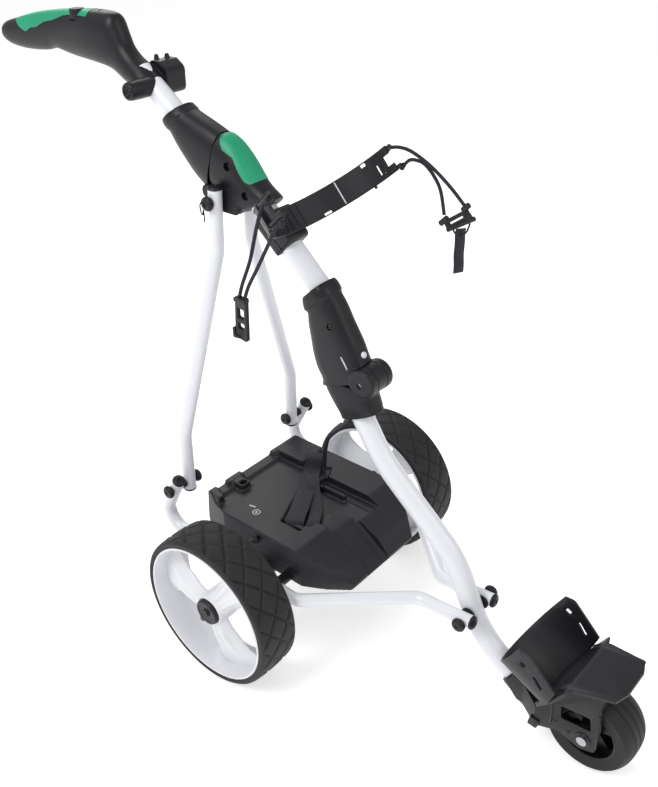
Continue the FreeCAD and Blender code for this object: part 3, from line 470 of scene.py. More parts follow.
def loft(name, stations, ring, steps=4):
    """A skin over stations (top x, top z, bottom x, bottom z, half width, squareness)."""
    rows = smooth_path(stations, steps)
    points = []
    faces = []
    rings = []
    for top_x, top_z, low_x, low_z, half, square in rows:
        top = vec(top_x, 0, top_z)
        low = vec(low_x, 0, low_z)
        middle = (top + low) / 2
        arm = (top - low) / 2
        rings.append(list(range(len(points), len(points) + ring)))
        for step in range(ring):
            turn = 2 * math.pi * step / ring
            reach = power(math.cos(turn), 2 / square)
            wide = power(math.sin(turn), 2 / square)
            points.append(middle + arm * reach + Y_AXIS * half * wide)
    for low, high in zip(rings, rings[1:]):
        for step in range(ring):
            after = (step + 1) % ring
            faces.append([low[step], low[after], high[after], high[step]])
    faces += [rings[0], rings[-1]]
    return raw(name, points, faces)


def swollen(obj, name, amount):
    """A copy of an object grown along its normals."""
    made = bpy.data.objects.new(name, obj.data.copy())
    bpy.context.scene.collection.objects.link(made)
    normals = [vertex.normal.copy() for vertex in made.data.vertices]
    for vertex, normal in zip(made.data.vertices, normals):
        vertex.co += normal * amount * MM
    return made


def half_of(obj, name, sign, gap=0.12):
    """The part of an object on one side of the middle plane, closed with a cap."""
    made = bpy.data.objects.new(name, obj.data.copy())
    bpy.context.scene.collection.objects.link(made)
    edit = bmesh.new()
    edit.from_mesh(made.data)
    cut = bmesh.ops.bisect_plane(edit, geom=edit.verts[:] + edit.edges[:] + edit.faces[:],
                                 plane_co=(0, sign * gap * MM, 0), plane_no=(0, -sign, 0),
                                 clear_outer=True)
    edges = [item for item in cut["geom_cut"] if isinstance(item, bmesh.types.BMEdge)]
    bmesh.ops.holes_fill(edit, edges=edges, sides=0)
    edit.to_mesh(made.data)
    edit.free()
    return made


def screw(name, place, direction, body, radius=4.2):
    """A cross-headed screw sunk in a recess."""
    outline = [(0, -2), (radius, -2), (radius, 0.2), (radius * 0.8, 1), (radius * 0.3, 1.4), (0, 1.5)]
    head = lathe(name, outline, place, direction, 24)
    first, second = across(direction)
    for arm in (first, second):
        other = first if arm is second else second
        centre = Vector(place) + Vector(direction).normalized() * 1.2
        corners = [centre + arm * a * radius * 0.6 + other * b * 0.5 for a, b in
                   ((-1, -1), (1, -1), (1, 1), (-1, 1))]
        deep = Vector(direction).normalized()
        tool = raw("cross", [c - deep for c in corners] + [c + deep for c in corners],
                   [[0, 1, 2, 3], [7, 6, 5, 4], [0, 4, 5, 1], [1, 5, 6, 2], [2, 6, 7, 3], [3, 7, 4, 0]])
        carve(head, tool)
    return finish_piece(head, name, body, "steel", look="black_steel", angle=30)


# ---------------------------------------------------------------- rear wheels

def tread_tyre(name, centre, direction, profile, rows, around, depth, half_band):
    """A tyre whose tread is a grid of diamonds; profile is (distance, radius) across it."""
    cells = 16
    count = rows * cells
    steps = around * cells
    direction = Vector(direction).normalized()
    first, second = across(direction)
    low, high = profile[0][0], profile[-1][0]
    points = []
    for i in range(steps):
        turn = 2 * math.pi * i / steps
        ray = first * math.cos(turn) + second * math.sin(turn)
        for j in range(count + 1):
            place = low + (high - low) * j / count
            radius = profile[-1][1]
            for (a, ra), (b, rb) in zip(profile, profile[1:]):
                if a <= place <= b:
                    t = (place - a) / (b - a)
                    radius = ra + (rb - ra) * t
                    break
            from_edge = min(j, count - j) / count * (high - low)
            fade = min(1, max(0, (from_edge - half_band) / 5))
            p = (i + j) % cells
            q = (i - j) % cells
            near = min(min(p, cells - p), min(q, cells - q))
            crown = min(1.0, near / 1.7)
            radius -= depth * fade * (1 - crown) ** 0.8
            points.append(Vector(centre) + direction * place + ray * radius)
    faces = []
    width = count + 1
    for i in range(steps):
        j_next = (i + 1) % steps
        for j in range(count):
            a, b = i * width + j, i * width + j + 1
            c, d = j_next * width + j + 1, j_next * width + j
            if (i - j) % cells == 0:
                faces += [[a, b, c], [a, c, d]]
            elif (i + j + 1) % cells == 0:
                faces += [[a, b, d], [b, c, d]]
            else:
                faces.append([a, b, c, d])
    base = len(points)
    for i in range(steps):
        turn = 2 * math.pi * i / steps
        ray = first * math.cos(turn) + second * math.sin(turn)
        for place in (low, high):
            for drop_to, shift in ((3, 0.0), (5, 1.2), (9, 1.2)):
                inward = shift if place == low else -shift
                points.append(Vector(centre) + direction * (place + inward)
                              + ray * (profile[0][1] - drop_to))
    for i in range(steps):
        after = (i + 1) % steps
        here, there = base + i * 6, base + after * 6
        for edge, column in ((0, 0), (3, count)):
            chain = [i * width + column] + [here + edge + k for k in range(3)]
            other = [after * width + column] + [there + edge + k for k in range(3)]
            for k in range(3):
                faces.append([chain[k], chain[k + 1], other[k + 1], other[k]])
        faces.append([here + 2, here + 5, there + 5, there + 2])
    return raw(name, points, faces)


REAR_FACE = 208


def rear_tyre(name, sign):
    """A dark tyre with a shallow crown, a diamond tread and smooth shoulders."""
    profile = [(0, 149), (1.5, 151.2), (5, 152.6), (14, 153.8), (28, 154.7), (43.5, 155),
               (59, 154.7), (73, 153.8), (82, 152.6), (85.5, 151.2), (87, 149)]
    made = tread_tyre("tyre", (0, sign * REAR_FACE, AXLE_Z), (0, sign, 0), profile, 2, 18, 3.4, 3)
    return finish_piece(made, f"tyre_{name}_tread", f"wheel_{name}", "tyre", [f"rear_tyre_{name}"],
                        angle=55)


def spoke(turn, sign):
    """One paddle-shaped spoke: narrow at the hub, flared at the barrel, ribbed on its face."""
    stations = [
        # radius, half width, face distance, thickness, rib height
        (12, 24, 71, 14, 0), (27, 25, 71, 15, 1.5), (42, 25, 70, 16, 4), (60, 28, 68, 16, 6),
        (80, 34, 65, 15, 6), (100, 43, 62, 14, 5), (118, 55, 59, 13, 3), (137.5, 70, 56, 12, 0),
    ]
    rows = smooth_path(stations, 4)
    lanes = 28
    points = []
    ray = Vector((math.cos(turn), 0, math.sin(turn)))
    side_way = Vector((-math.sin(turn), 0, math.cos(turn)))
    base = vec(0, sign * REAR_FACE, AXLE_Z)
    outward = Vector((0, sign, 0))
    for radius, half, face, thick, rib in rows:
        for top in (True, False):
            for lane in range(lanes + 1):
                t = -1 + 2 * lane / lanes
                drop_edge = abs(t) ** 3 * thick * 0.9
                ribs = rib * math.exp(-((abs(t) - 0.42) / 0.17) ** 2)
                trough = -rib * 0.5 * math.exp(-(t / 0.25) ** 2)
                depth = face - drop_edge + ribs + trough if top else face - thick - abs(t) * 2
                reach = math.sqrt(max(0, radius ** 2 - (t * half) ** 2)) if radius > half else radius
                reach = radius if radius < 60 else max(reach, radius * 0.8)
                points.append(base + ray * reach + side_way * t * half + outward * depth)
    return raw("spoke", points, two_skins(len(rows), lanes))


SPOKE_TURNS = {-1: 50, 1: 52}


def rear_rim(name, sign):
    """A white moulded rim: a deep barrel, three ribbed spokes and a hub."""
    start = vec(0, sign * REAR_FACE, AXLE_Z)
    outward = Vector((0, sign, 0))
    barrel = [(139.7, 0.4), (139.7, 86.6), (138.6, 87.4), (136.2, 87.2), (135.4, 85.5), (134.6, 70),
              (133.6, 45), (133, 26), (130.5, 22), (130.5, 12), (133.5, 8), (134, 1.5), (135.5, 0.2)]
    ring = lathe("barrel", barrel, start, outward, 128, closed=True)
    hub = lathe("hub", [(7, 14), (30, 14), (32, 38), (31, 66), (28, 74), (7, 74)], start, outward, 64,
                closed=True)
    first = math.radians(SPOKE_TURNS[sign])
    spokes = [spoke(first + 2 * math.pi * index / 3, sign) for index in range(3)]
    spider = remesh(merge("spider", spokes + [hub]), 2.2, 5)
    keep = lathe("keep", [(0, -5), (137.5, -5), (137.5, 95), (0, 95)], start, outward, 96)
    combine(spider, [keep], "INTERSECT")
    well = lathe("well", [(0, 68.5), (27.2, 68.5), (27.2, 90), (0, 90)], start, outward, 64)
    bore = lathe("bore", [(0, -5), (6.6, -5), (6.6, 95), (0, 95)], start, outward, 32)
    carve(spider, well, bore)
    made = merge("rim", [ring, spider])
    return finish_piece(made, f"rim_{name}_spoked", f"wheel_{name}", "white_plastic",
                        [f"rear_rim_{name}"], angle=38)


def hub_cap(name, sign):
    """The dark hub disc with a shallow dish, a rim line and a small tab."""
    start = vec(0, sign * (REAR_FACE + 70.1), AXLE_Z)
    outward = Vector((0, sign, 0))
    outline = [(7.3, 0), (26, 0), (26, 8), (24.8, 10.4), (22.5, 11.4), (20.8, 11.2), (20.2, 10.4),
               (9, 9.6), (8.4, 11), (7.3, 11)]
    disc = lathe("disc", outline, start, outward, 72, closed=True)
    low = vec(-15, 0, AXLE_Z - 23)
    tab = slab("tab", [(low.x - 4, low.z - 6, 2), (low.x + 4, low.z - 6, 2), (low.x + 5, low.z + 7),
                       (low.x - 5, low.z + 7)], start.y + sign * 4, start.y + sign * 10)
    bevel(tab, 0.8, 2)
    made = merge("cap", [disc, tab])
    return finish_piece(made, f"hub_cap_{name}_disc", f"wheel_{name}", "black_plastic",
                        [f"hub_cap_{name}"])


def wheel_button(name, sign):
    """The push button in the hub cap, with a dimpled face."""
    start = vec(0, sign * 281, AXLE_Z)
    outline = [(0, 0), (7, 0), (7, 9.6), (6.2, 10.8), (4.6, 11), (3, 10.2), (0, 9.8)]
    made = lathe("button", outline, start, (0, sign, 0), 40)
    return finish_piece(made, f"wheel_button_{name}_dished", f"wheel_button_{name}",
                        "black_plastic", [f"wheel_button_{name}"])


# ---------------------------------------------------------------- front wheel

FRONT_X = 645
FRONT_Z = 79


def front_wheel():
    """The fat front tyre with fine centre grooves, and its dark five-spoke rim."""
    centre = vec(FRONT_X, 0, FRONT_Z)
    profile = []
    for step in range(25):
        v = -38 + 76 * step / 24
        radius = 79 - 9.5 * (abs(v) / 38) ** 3.2
        profile.append((radius, v))
    for v in (-16, 0, 16):
        at = min(range(len(profile)), key=lambda index: abs(profile[index][1] - v))
        profile[at] = (profile[at][0] - 1.8, profile[at][1])
    outline = profile + [(66, 37.5), (62, 36.4), (58, 35), (54, 35), (52.1, 34), (52.1, -34),
                         (54, -35), (58, -35), (62, -36.4), (66, -37.5)]
    tyre = lathe("tyre", outline, centre, Y_AXIS, 128, closed=True)
    finish_piece(tyre, "front_tyre_round", "front_wheel", "tyre", ["front_tyre"], angle=28)
    rim_outline = [(52, -34), (52, 34), (50.5, 34.6), (48, 33.6), (46, 20), (45.5, 0), (46, -20),
                   (48, -33.6), (50.5, -34.6)]
    parts = [lathe("rim", rim_outline, centre, Y_AXIS, 96, closed=True)]
    parts.append(lathe("hub", [(11.1, -32), (18, -32), (19, -28), (19, 28), (18, 32), (11.1, 32)],
                       centre, Y_AXIS, 48, closed=True))
    for index in range(5):
        turn = 2 * math.pi * index / 5 + 0.3
        ray = Vector((math.cos(turn), 0, math.sin(turn)))
        way = Vector((-math.sin(turn), 0, math.cos(turn)))
        place = (lambda u, v, w, ray=ray, way=way: centre + ray * u + way * v + Y_AXIS * w)
        arm = slab("arm", [(16, -8), (48, -11), (48, 11), (16, 8)], -14, 14, place)
        parts.append(bevel(arm, 2, 3))
    made = merge("rim", parts)
    finish_piece(made, "front_rim_spoked", "front_wheel", "rim_black", ["front_rim"])


# ---------------------------------------------------------------- knobs and plugs

def end_cap(radius, start, direction):
    """A domed cap on a tube end, with a shallow dimple and a skirt line."""
    outline = [(0, -4), (radius - 3, -4), (radius - 3, 0.1), (radius + 0.5, 0.1), (radius + 0.7, 1.6),
               (radius + 0.1, 3.4), (radius - 2, 5.4), (radius - 6, 6.6), (3.6, 6.9), (2.8, 5.6),
               (0, 5.4)]
    return lathe("cap", outline, start, direction, 48)


def grip_knob(start, direction, radius=13, length=12):
    """A rounded knob with a soft face dimple and a waist by the tube."""
    outline = [(4.2, 0.1), (radius - 3, 0.1), (radius - 2.4, 1.6), (radius - 0.4, 3), (radius, 5.4),
               (radius - 0.3, length - 3.6), (radius - 2.2, length - 1.2), (radius - 5, length - 0.1),
               (4, length), (3.2, length - 1.6), (0, length - 1.8)]
    return lathe("knob", outline, start, direction, 48)


def caps_and_knobs():
    """Every tube cap and bolt knob, on the bodies that carry them."""
    groups = {
        ("rail_caps", "chassis", "rail_plugs"): [], ("rail_knob_set", "chassis", "rail_knobs"): [],
        ("strut_caps", "struts", "strut_plugs"): [],
        ("strut_foot_knob_set", "struts", "strut_foot_knobs"): [],
        ("strut_top_knob_set", "mast", "strut_top_knobs"): [],
    }
    caps, knobs, strut_caps, foot, top = groups.values()
    for _, sign in SIDES:
        outward = (0, sign, 0)
        caps.append(end_cap(12.5, (413, sign * 35, 192), (113, 0, 8)))
        caps.append(end_cap(12.5, (-165, sign * 184, 320), (63, 0, 114)))
        knobs.append(grip_knob((-176, sign * 196.6, 300), outward))
        knobs.append(grip_knob((397, sign * 47.6, 190), outward))
        strut_caps.append(end_cap(12.5, (-141, sign * 43, 868), (8, 0, 117)))
        strut_caps.append(end_cap(12.5, (-177, sign * 149, 283), (-5, 0, -125)))
        foot.append(grip_knob((-176, sign * 136.4, 300), (0, -sign, 0)))
        top.append(grip_knob((-143, sign * 55.7, 846), outward))
        knobs.append(grip_knob((12, sign * 196.6, 198), outward, 7, 8.5))
        knobs.append(grip_knob((0, sign * 144.2, 238), outward, 8, 12))
    for (name, body, node), parts in groups.items():
        finish_piece(merge(name, parts), name, body, "black_plastic", [node])


# ---------------------------------------------------------------- lower housing (fold hinge)

HINGE = vec(163, 0, 582)
HINGE_LINE = [(40, 545), (70, 545.4), (163, 580.6)]
TUBE_FIT = 20.1
CHEEK_INSIDE = 12.3


def cheek_room(centre, radius, steps):
    """Cutters outside a central tongue, round a pivot, one for each side."""
    outline = [(0, CHEEK_INSIDE), (radius, CHEEK_INSIDE), (radius, 60), (0, 60)]
    return [lathe("clear", outline, centre, (0, sign, 0), steps) for sign in (-1, 1)]


def tongue_room(centre, radius, steps):
    """The cutter for a central tongue round a pivot."""
    outline = [(0, -CHEEK_INSIDE), (radius, -CHEEK_INSIDE), (radius, CHEEK_INSIDE), (0, CHEEK_INSIDE)]
    return lathe("slot", outline, centre, Y_AXIS, steps)


def outer_slabs(corners, inside):
    """The same outline on both sides, from a distance outwards."""
    return [slab("outer", corners, *sorted((sign * inside, sign * 60))) for sign in (-1, 1)]


def fine_voxel():
    """The grid for the mouldings' skins."""
    return 1.3


def lower_housings():
    """The two moulded halves of the spine's fold hinge, with seams, step and screws."""
    stations = [
        (72, 741, 27, 700, 28, 3), (79, 735, 29, 690, 30, 3.2), (87, 725, 32, 679, 30, 3.2),
        (90, 719, 36, 674, 27.5, 2.8), (103, 702, 37, 652, 28.5, 2.8), (120, 672, 41, 626, 29.5, 2.8),
        (139, 640, 45, 601, 29.5, 3), (152, 612, 53, 575, 29.5, 3), (165, 590, 64, 556, 29.5, 3),
        (168, 574, 62, 536, 29.5, 3),
    ]
    mast = loft("mast_shell", stations, 40, 4)
    knuckle = []
    for sign in (-1, 1):
        knuckle.append(lathe("side", [(0, 12.4), (26, 12.4), (27, 14), (27, 26), (25, 29.5), (0, 29.5)],
                             HINGE, (0, sign, 0), 48))
    mast = remesh(merge("mast_shell", [mast] + knuckle), fine_voxel(), 5)
    under = slab("under", [(60, 500), (163, 500), (190, 500), (190, 560), (163, 581.5), (70, 546),
                           (40, 546)], -60, 60)
    carve(under, lathe("spare", [(0, -70), (27.3, -70), (27.3, 70), (0, 70)], HINGE, Y_AXIS, 48))
    step = [(40, 570), (52, 618), (104, 612, 4), (128, 590, 4), (142, 560), (100, 530)]
    carve(mast, tongue_room(HINGE, 27.6, 48), under, rod("socket", TUBE_FIT, (64, 0, 714), (14, 0, 762)),
          *outer_slabs(step, 28.4))
    carve(mast, slab("latch", [(118, 622), (134, 598), (137, 600), (121, 624)], -40, -27.4))
    carve(mast, rod("recess", 6, (96, -40, 670), (96, -25.4, 670), 28))
    carve(mast, rod("recess", 5, (160, -40, 578), (160, -27, 578), 28))
    carve(mast, lathe("well", [(0, -13), (6.5, -13), (6.5, 20), (0, 20)], (148, 0, 622),
                      (0.932, 0, 0.362), 32))
    finish_piece(mast, "mast_hinge_moulding", "mast", "black_plastic", ["mast_hinge_shell"])
    leg_rows = [
        (177, 562, 60, 566, 27, 3), (172, 552, 72, 543, 29.5, 3), (172, 547, 80, 530, 29.5, 3),
        (179, 530, 92, 512, 29, 2.8), (182, 524, 100, 498, 27.5, 2.6), (184, 521, 105, 486, 26.5, 2.6),
    ]
    leg = loft("leg_shell", leg_rows, 40, 4)
    centre = lathe("centre", [(0, -12), (26.5, -12), (26.5, 12), (0, 12)], HINGE, Y_AXIS, 48)
    leg = remesh(merge("leg_shell", [leg, centre]), fine_voxel(), 4)
    over = outer_slabs([(40, 700)] + HINGE_LINE + [(200, 594), (200, 700)], 12.4)
    middle = slab("middle", [(40, 700)] + HINGE_LINE[:2] + [(120, 564), (130, 620), (130, 700)],
                  -60, 60)
    socket = rod("socket", TUBE_FIT, (128, 0, 525), (170, 0, 454.8))
    carve(leg, *reversed(over), middle, socket, *cheek_room(HINGE, 27.8, 48))
    finish_piece(leg, "leg_hinge_moulding", "front_leg", "black_plastic", ["leg_hinge_shell"])
    screw("hinge_screw_upper", (96, -26.2, 670), (0, -1, 0), "mast")
    screw("hinge_screw_lower", (160, -27.6, 578), (0, -1, 0), "mast", radius=4)
    latch = slab("latch", [(119, 621), (133, 600), (135.5, 601.5), (121.5, 622.5)], -29.2, -26)
    finish_piece(bevel(latch, 0.3, 2), "latch_blade", "mast", "steel")


def fold_button():
    """The pale oval button, slightly domed."""
    place = Vector((0.932, 0, 0.362))
    outline = [(0, -9), (5.9, -9), (5.9, 0.6), (5.2, 1.7), (3.6, 2.4), (0, 2.8)]
    made = lathe("button", outline, (148, 0, 622), place, 40)
    finish_piece(made, "fold_button_dome", "fold_button", "white_plastic", ["fold_button"])


# ---------------------------------------------------------------- upper housing and knuckle

HANDLE_PIVOT = vec(-178, 0, 852)
HOUSING_SCREWS = ((-122, 906), (-84, 862))


def upper_housings():
    """The housing on the mast's top, the long handle knuckle and the green release pad."""
    rows = [
        (-150, 954, -176, 858, 30, 2.6), (-136, 951, -168, 846, 30, 2.6),
        (-118, 940, -150, 838, 30, 2.7), (-98, 920, -128, 832, 30, 2.7),
        (-78, 895, -108, 824, 29.5, 2.6), (-63, 881, -90, 830, 27, 2.4), (-51, 873, -74, 838, 24.5, 2.2),
        (-41, 867, -63, 840, 23.5, 2.1), (-34, 861, -56, 838, 23, 2.1),
    ]
    housing = loft("upper", rows, 40, 4)
    lug = slab("lug", [(-172, 862), (-168, 826, 12), (-134, 822, 14), (-104, 822, 8), (-104, 862)],
               -29, 29)
    boss = lathe("boss", [(0, -12), (12.8, -12), (12.8, 12), (0, 12)], HANDLE_PIVOT, Y_AXIS, 40)
    housing = remesh(merge("upper", [housing, lug, boss]), fine_voxel(), 5)
    back = [(-240, 1000), (-151.6, 1000), (-151.2, 953), (-160, 916)]
    behind = outer_slabs(back + [(-175, 871), (-176, 800), (-240, 800)], 12.4)
    between = slab("between", back + [(-173, 867.5), (-191, 867.5), (-240, 867.5)], -60, 60)
    pad_shape = [(-147, 990), (-146, 950, 5), (-134, 932, 8), (-112, 922, 14), (-98, 900, 14),
                 (-86, 886, 8), (-76, 882, 6), (-66, 887, 3), (-52, 940), (-80, 990)]
    grown = swollen(housing, "pad", 0.9)
    core = swollen(housing, "core", -2.6)
    pad = slab("pad_mask", pad_shape, -60, 60, steps=8)
    combine(grown, [pad], "INTERSECT")
    carve(grown, core)
    gap = slab("gap", [(x - 0.4, z - 0.7, *rest) for x, z, *rest in pad_shape], -60, 60, steps=8)
    shallow = swollen(housing, "shallow", 3)
    inner = swollen(housing, "inner", -6.2)
    carve(shallow, inner)
    combine(shallow, [gap], "INTERSECT")
    carve(housing, *behind, between, *cheek_room(HANDLE_PIVOT, 13.7, 40))
    carve(housing, rod("socket", TUBE_FIT, (-60, 0, 832.4), (-10, 0, 784.8)))
    carve(housing, shallow)
    for x, z in HOUSING_SCREWS:
        for sign in (-1, 1):
            carve(housing, rod("recess", 7.4, (x, sign * 40, z), (x, sign * 22, z), 32))
    finish_piece(housing, "upper_housing_moulding", "mast", "black_plastic", ["upper_housing"])
    keep = slab("keep", [(-144.5, 1000), (-144.5, 860), (-60, 860), (-60, 1000)], -60, 60)
    combine(grown, [keep], "INTERSECT")
    finish_piece(grown, "release_pad_skin", "release_pad", "green_rubber", ["release_pad"], angle=50)
    for index, (x, z) in enumerate(HOUSING_SCREWS):
        for side_name, sign in SIDES:
            screw(f"housing_screw_{index}_{side_name}", (x, sign * 23.4, z), (0, sign, 0), "mast",
                  radius=5.4)
    knuckle_rows = [
        (-240, 991, -295, 953, 27.5, 2.2), (-236, 987, -288, 945, 30, 2.3),
        (-229, 983, -280, 939, 30, 2.3), (-226, 981, -275, 935, 28, 2.3),
        (-212, 976, -261, 915, 28.5, 2.4), (-188, 968, -239, 890, 29.5, 2.5),
        (-166, 960, -216, 868, 30, 2.6), (-140, 950, -186, 846, 30, 2.6),
    ]
    knuckle = loft("knuckle", knuckle_rows, 40, 4)
    bosses = [lathe("boss", [(0, 12.5), (12.6, 12.5), (12.6, 29), (0, 29)], HANDLE_PIVOT,
                    (0, sign, 0), 40) for sign in (-1, 1)]
    knuckle = remesh(merge("knuckle", [knuckle] + bosses), fine_voxel(), 5)
    front = slab("front", [(-100, 1000), (-152.2, 1000), (-152.4, 953), (-160.8, 916),
                           (-177, 868), (-164, 862), (-164, 800), (-100, 800)], -60, 60)
    socket = rod("socket", TUBE_FIT, (-215, 0, 926), (-340, 0, 1020.9))
    carve(knuckle, front, tongue_room(HANDLE_PIVOT, 13.6, 40), socket)
    finish_piece(knuckle, "handle_knuckle_moulding", "handle", "black_plastic", ["handle_knuckle"])
    line = [(-152, y_place, 846 + z_place) for y_place, z_place in
            ((-64, 4), (-70, 0), (-70, -12), (-66, -20), (-64, -12), (-63, -24), (-64, -34))]
    loop = sweep("loop", smooth_path(line, 6), round_shape(1.1, 8))
    finish_piece(loop, "knob_tether", "mast", "cord", angle=60)


# ---------------------------------------------------------------- handle

DIAL = (-505, -9, 1114)


def round_well(place, radius, depth):
    """A cutter for a round well, from a depth up."""
    return lathe("well", [(0, depth), (radius, depth), (radius, 40), (0, 40)], place, (0, 0, 1), 40)


def handle():
    """The grip: two shells, a green inlay, the dial and the power button."""
    rows = [
        (-766, 1070, -768, 1058, 6, 2), (-758, 1079, -762, 1048, 15, 2.2),
        (-740, 1086, -740, 1040, 19, 2.3), (-700, 1095, -704, 1036, 20.5, 2.3),
        (-660, 1104, -664, 1036.5, 20.5, 2.3), (-620, 1111, -624, 1040, 20, 2.3),
        (-590, 1115, -594, 1046, 19.5, 2.3), (-555, 1119, -560, 1042, 20.5, 2.4),
        (-515, 1122.5, -525, 1038, 23, 2.5), (-475, 1125, -492, 1036, 26, 2.6),
        (-435, 1126, -462, 1033.5, 27, 2.6), (-404, 1122, -438, 1030, 26, 2.5),
        (-391, 1101, -420, 1025, 23, 2.4), (-380, 1076, -402, 1016, 22, 2.3),
        (-362, 1058, -386, 1008, 23, 2.2), (-342, 1046, -368, 1001, 25, 2.1),
        (-324, 1034, -352, 994, 26.5, 2.1), (-312, 1025, -342, 987, 25.5, 2.1),
    ]
    grip = loft("grip", rows, 44, 4)
    outline = [(0, 0), (16.5, 0), (16.5, 40), (16, 56), (15, 61), (12.5, 63), (10, 63), (9.4, 59),
               (0, 59)]
    bar = [lathe("bar", outline, (-321, 0, 1010), (0, -1, 0), 48)]
    bar.append(slab("catch", [(-351, 990, 8), (-308, 990, 12), (-306, 1034, 12), (-326, 1047, 6),
                              (-351, 1047, 8)], 18, 62))
    for x, y in ((-344, 30), (-334, 46)):
        bar.append(slab("tooth", [(x - 7, 1040), (x + 7, 1040), (x + 2, 1055), (x - 2, 1056)], y - 3.4,
                        y + 3.4))
    grip = remesh(merge("grip", [grip] + bar), fine_voxel(), 4)
    seam_line = [(-703, 1112), (-705, 1090, 2), (-684, 1078, 6), (-666, 1072, 8), (-648, 1081, 10),
                 (-630, 1083, 8), (-602, 1095, 12), (-574, 1100, 10), (-540, 1111, 10),
                 (-506, 1115, 10), (-466, 1115, 3), (-462, 1140), (-703, 1140)]
    inlay = swollen(grip, "inlay", 0.5)
    core = swollen(grip, "core", -2.4)
    combine(inlay, [slab("mask", seam_line, -60, 60, steps=6)], "INTERSECT")
    carve(inlay, core)
    carve(inlay, round_well(DIAL, 14.4, -30))
    trench = swollen(grip, "trench", 3)
    trench_core = swollen(grip, "trench_core", -2.8)
    carve(trench, trench_core)
    grown_line = [(u, v - 0.7, *rest) for u, v, *rest in seam_line]
    combine(trench, [slab("mask", grown_line, -60, 60, steps=6)], "INTERSECT")
    carve(grip, rod("socket", TUBE_FIT, (-352, 0, 1030), (-250, 0, 952.6)))
    carve(grip, trench, round_well(DIAL, 14.4, -9), round_well((-440, 0, 1118), 8.3, -3))
    for sign in (-1, 1):
        carve(grip, rod("recess", 4.6, (-352, sign * 10, 1075), (-338, sign * 10, 1046), 24))
    for name, sign in SIDES:
        shell = half_of(grip, "half", sign)
        finish_piece(shell, f"handle_shell_{name}_moulding", "handle", "black_plastic",
                     [f"handle_shell_{name}"])
    drop(grip)
    finish_piece(inlay, "grip_inlay_skin", "handle", "green_rubber", ["grip_inlay"], angle=50)
    for name, sign in SIDES:
        end = 59.4 if sign < 0 else 61.4
        screw(f"bar_screw_{name}", (-321, sign * end, 1010), (0, sign, 0), "handle", radius=5)
    dial()


def lobed(centre, steps, radius, wave, lobes):
    """A circle whose radius goes in and out, as points in plan."""
    outline = []
    for step in range(steps):
        turn = 2 * math.pi * step / steps
        reach = radius + wave * math.cos(turn * lobes)
        outline.append((centre[0] + reach * math.cos(turn), centre[1] + reach * math.sin(turn)))
    return outline


def dial():
    """The thumb dial with a scalloped edge, and the small oval button."""
    outline = lobed(DIAL, 72, 13.6, 0.4, 18)
    disc = slab("dial", outline, 1107, 1125.4, from_above)
    bevel(disc, 2.4, 4, 60)
    finish_piece(disc, "speed_dial_scalloped", "speed_dial", "black_plastic", ["speed_dial"])
    outline = [(0, 0), (7.8, 0), (7.8, 7.2), (6.8, 8.4), (4, 8.6), (0, 8.1)]
    button = lathe("button", outline, (-440, 0, 1117), (0, 0, 1), 40)
    finish_piece(button, "power_button_dished", "power_button", "black_plastic", ["power_button"])


# ---------------------------------------------------------------- bag clamp, cradle and cords

MID_TOP = vec(-86, 0, 857)
MID_FOOT = vec(64, 0, 714)
ALONG = (MID_FOOT - MID_TOP).normalized()
UPWARD = vec(-ALONG.z, 0, ALONG.x)
CLAMP = MID_TOP + ALONG * 76
KNOB_PLACE = (18, -18)
LEAN = math.radians(6.2)
CRADLE_UP = UPWARD * math.cos(LEAN) + ALONG * math.sin(LEAN)
CRADLE_ALONG = ALONG * math.cos(LEAN) - UPWARD * math.sin(LEAN)


def on_clamp(u, v, w):
    """A point in the clamp's frame: across, up from the tube, along the tube."""
    return CLAMP + Y_AXIS * u + UPWARD * v + ALONG * w


def on_clamp_side(u, v, w):
    """Outline in the clamp's side view (along, up), pushed across."""
    return on_clamp(w, v, u)


def bag_clamp():
    """The split collar with its lug and a pinch bolt."""
    body = slab("clamp", [(-25, -26, 14), (25, -26, 14), (25, 30, 4), (-25, 30, 4)], -29, 29, on_clamp)
    foot = slab("foot", [(-32, -21, 6), (34, -21, 6), (34, 31, 8), (-27, 31, 4)], -22, 22,
                on_clamp_side)
    ear = slab("ear", [(-34, 8, 7), (2, 8), (2, 28), (-34, 28, 7)], -31, -21, on_clamp_side)
    made = fuse(body, foot, ear)
    bevel(made, 2.4, 3)
    tube = rod("tube", 20.1, on_clamp(0, 0, -70), on_clamp(0, 0, 70), 48)
    split = slab("split", [(-60, -1), (60, -1), (60, 1), (-60, 1)], -40, -10, on_clamp_side)
    hole = rod("hole", 3.2, on_clamp(-60, *KNOB_PLACE), on_clamp(-10, *KNOB_PLACE), 24)
    carve(made, tube, split, hole)
    finish_piece(made, "bag_clamp_collar", "mast", "black_plastic", ["bag_clamp"])
    head = slab("head", lobed(KNOB_PLACE[::-1], 60, 10.6, 0.5, 6), -42.2, -31.3, on_clamp_side)
    stem = rod("stem", 3, on_clamp(-33, *KNOB_PLACE), on_clamp(-23.2, *KNOB_PLACE), 20)
    finish_piece(merge("knob", [bevel(head, 1.8, 3, 50), stem]), "clamp_knob_lobed", "clamp_knob",
                 "black_plastic", ["clamp_knob"])


def on_cradle(turn, radius, along):
    """A point of the cradle: angle from straight down, radius from the bag's axis, along it."""
    centre = on_clamp(0, 34.2, 0) + CRADLE_UP * 143
    across_way = Y_AXIS * radius * math.sin(turn)
    return centre + across_way - CRADLE_UP * radius * math.cos(turn) + CRADLE_ALONG * along


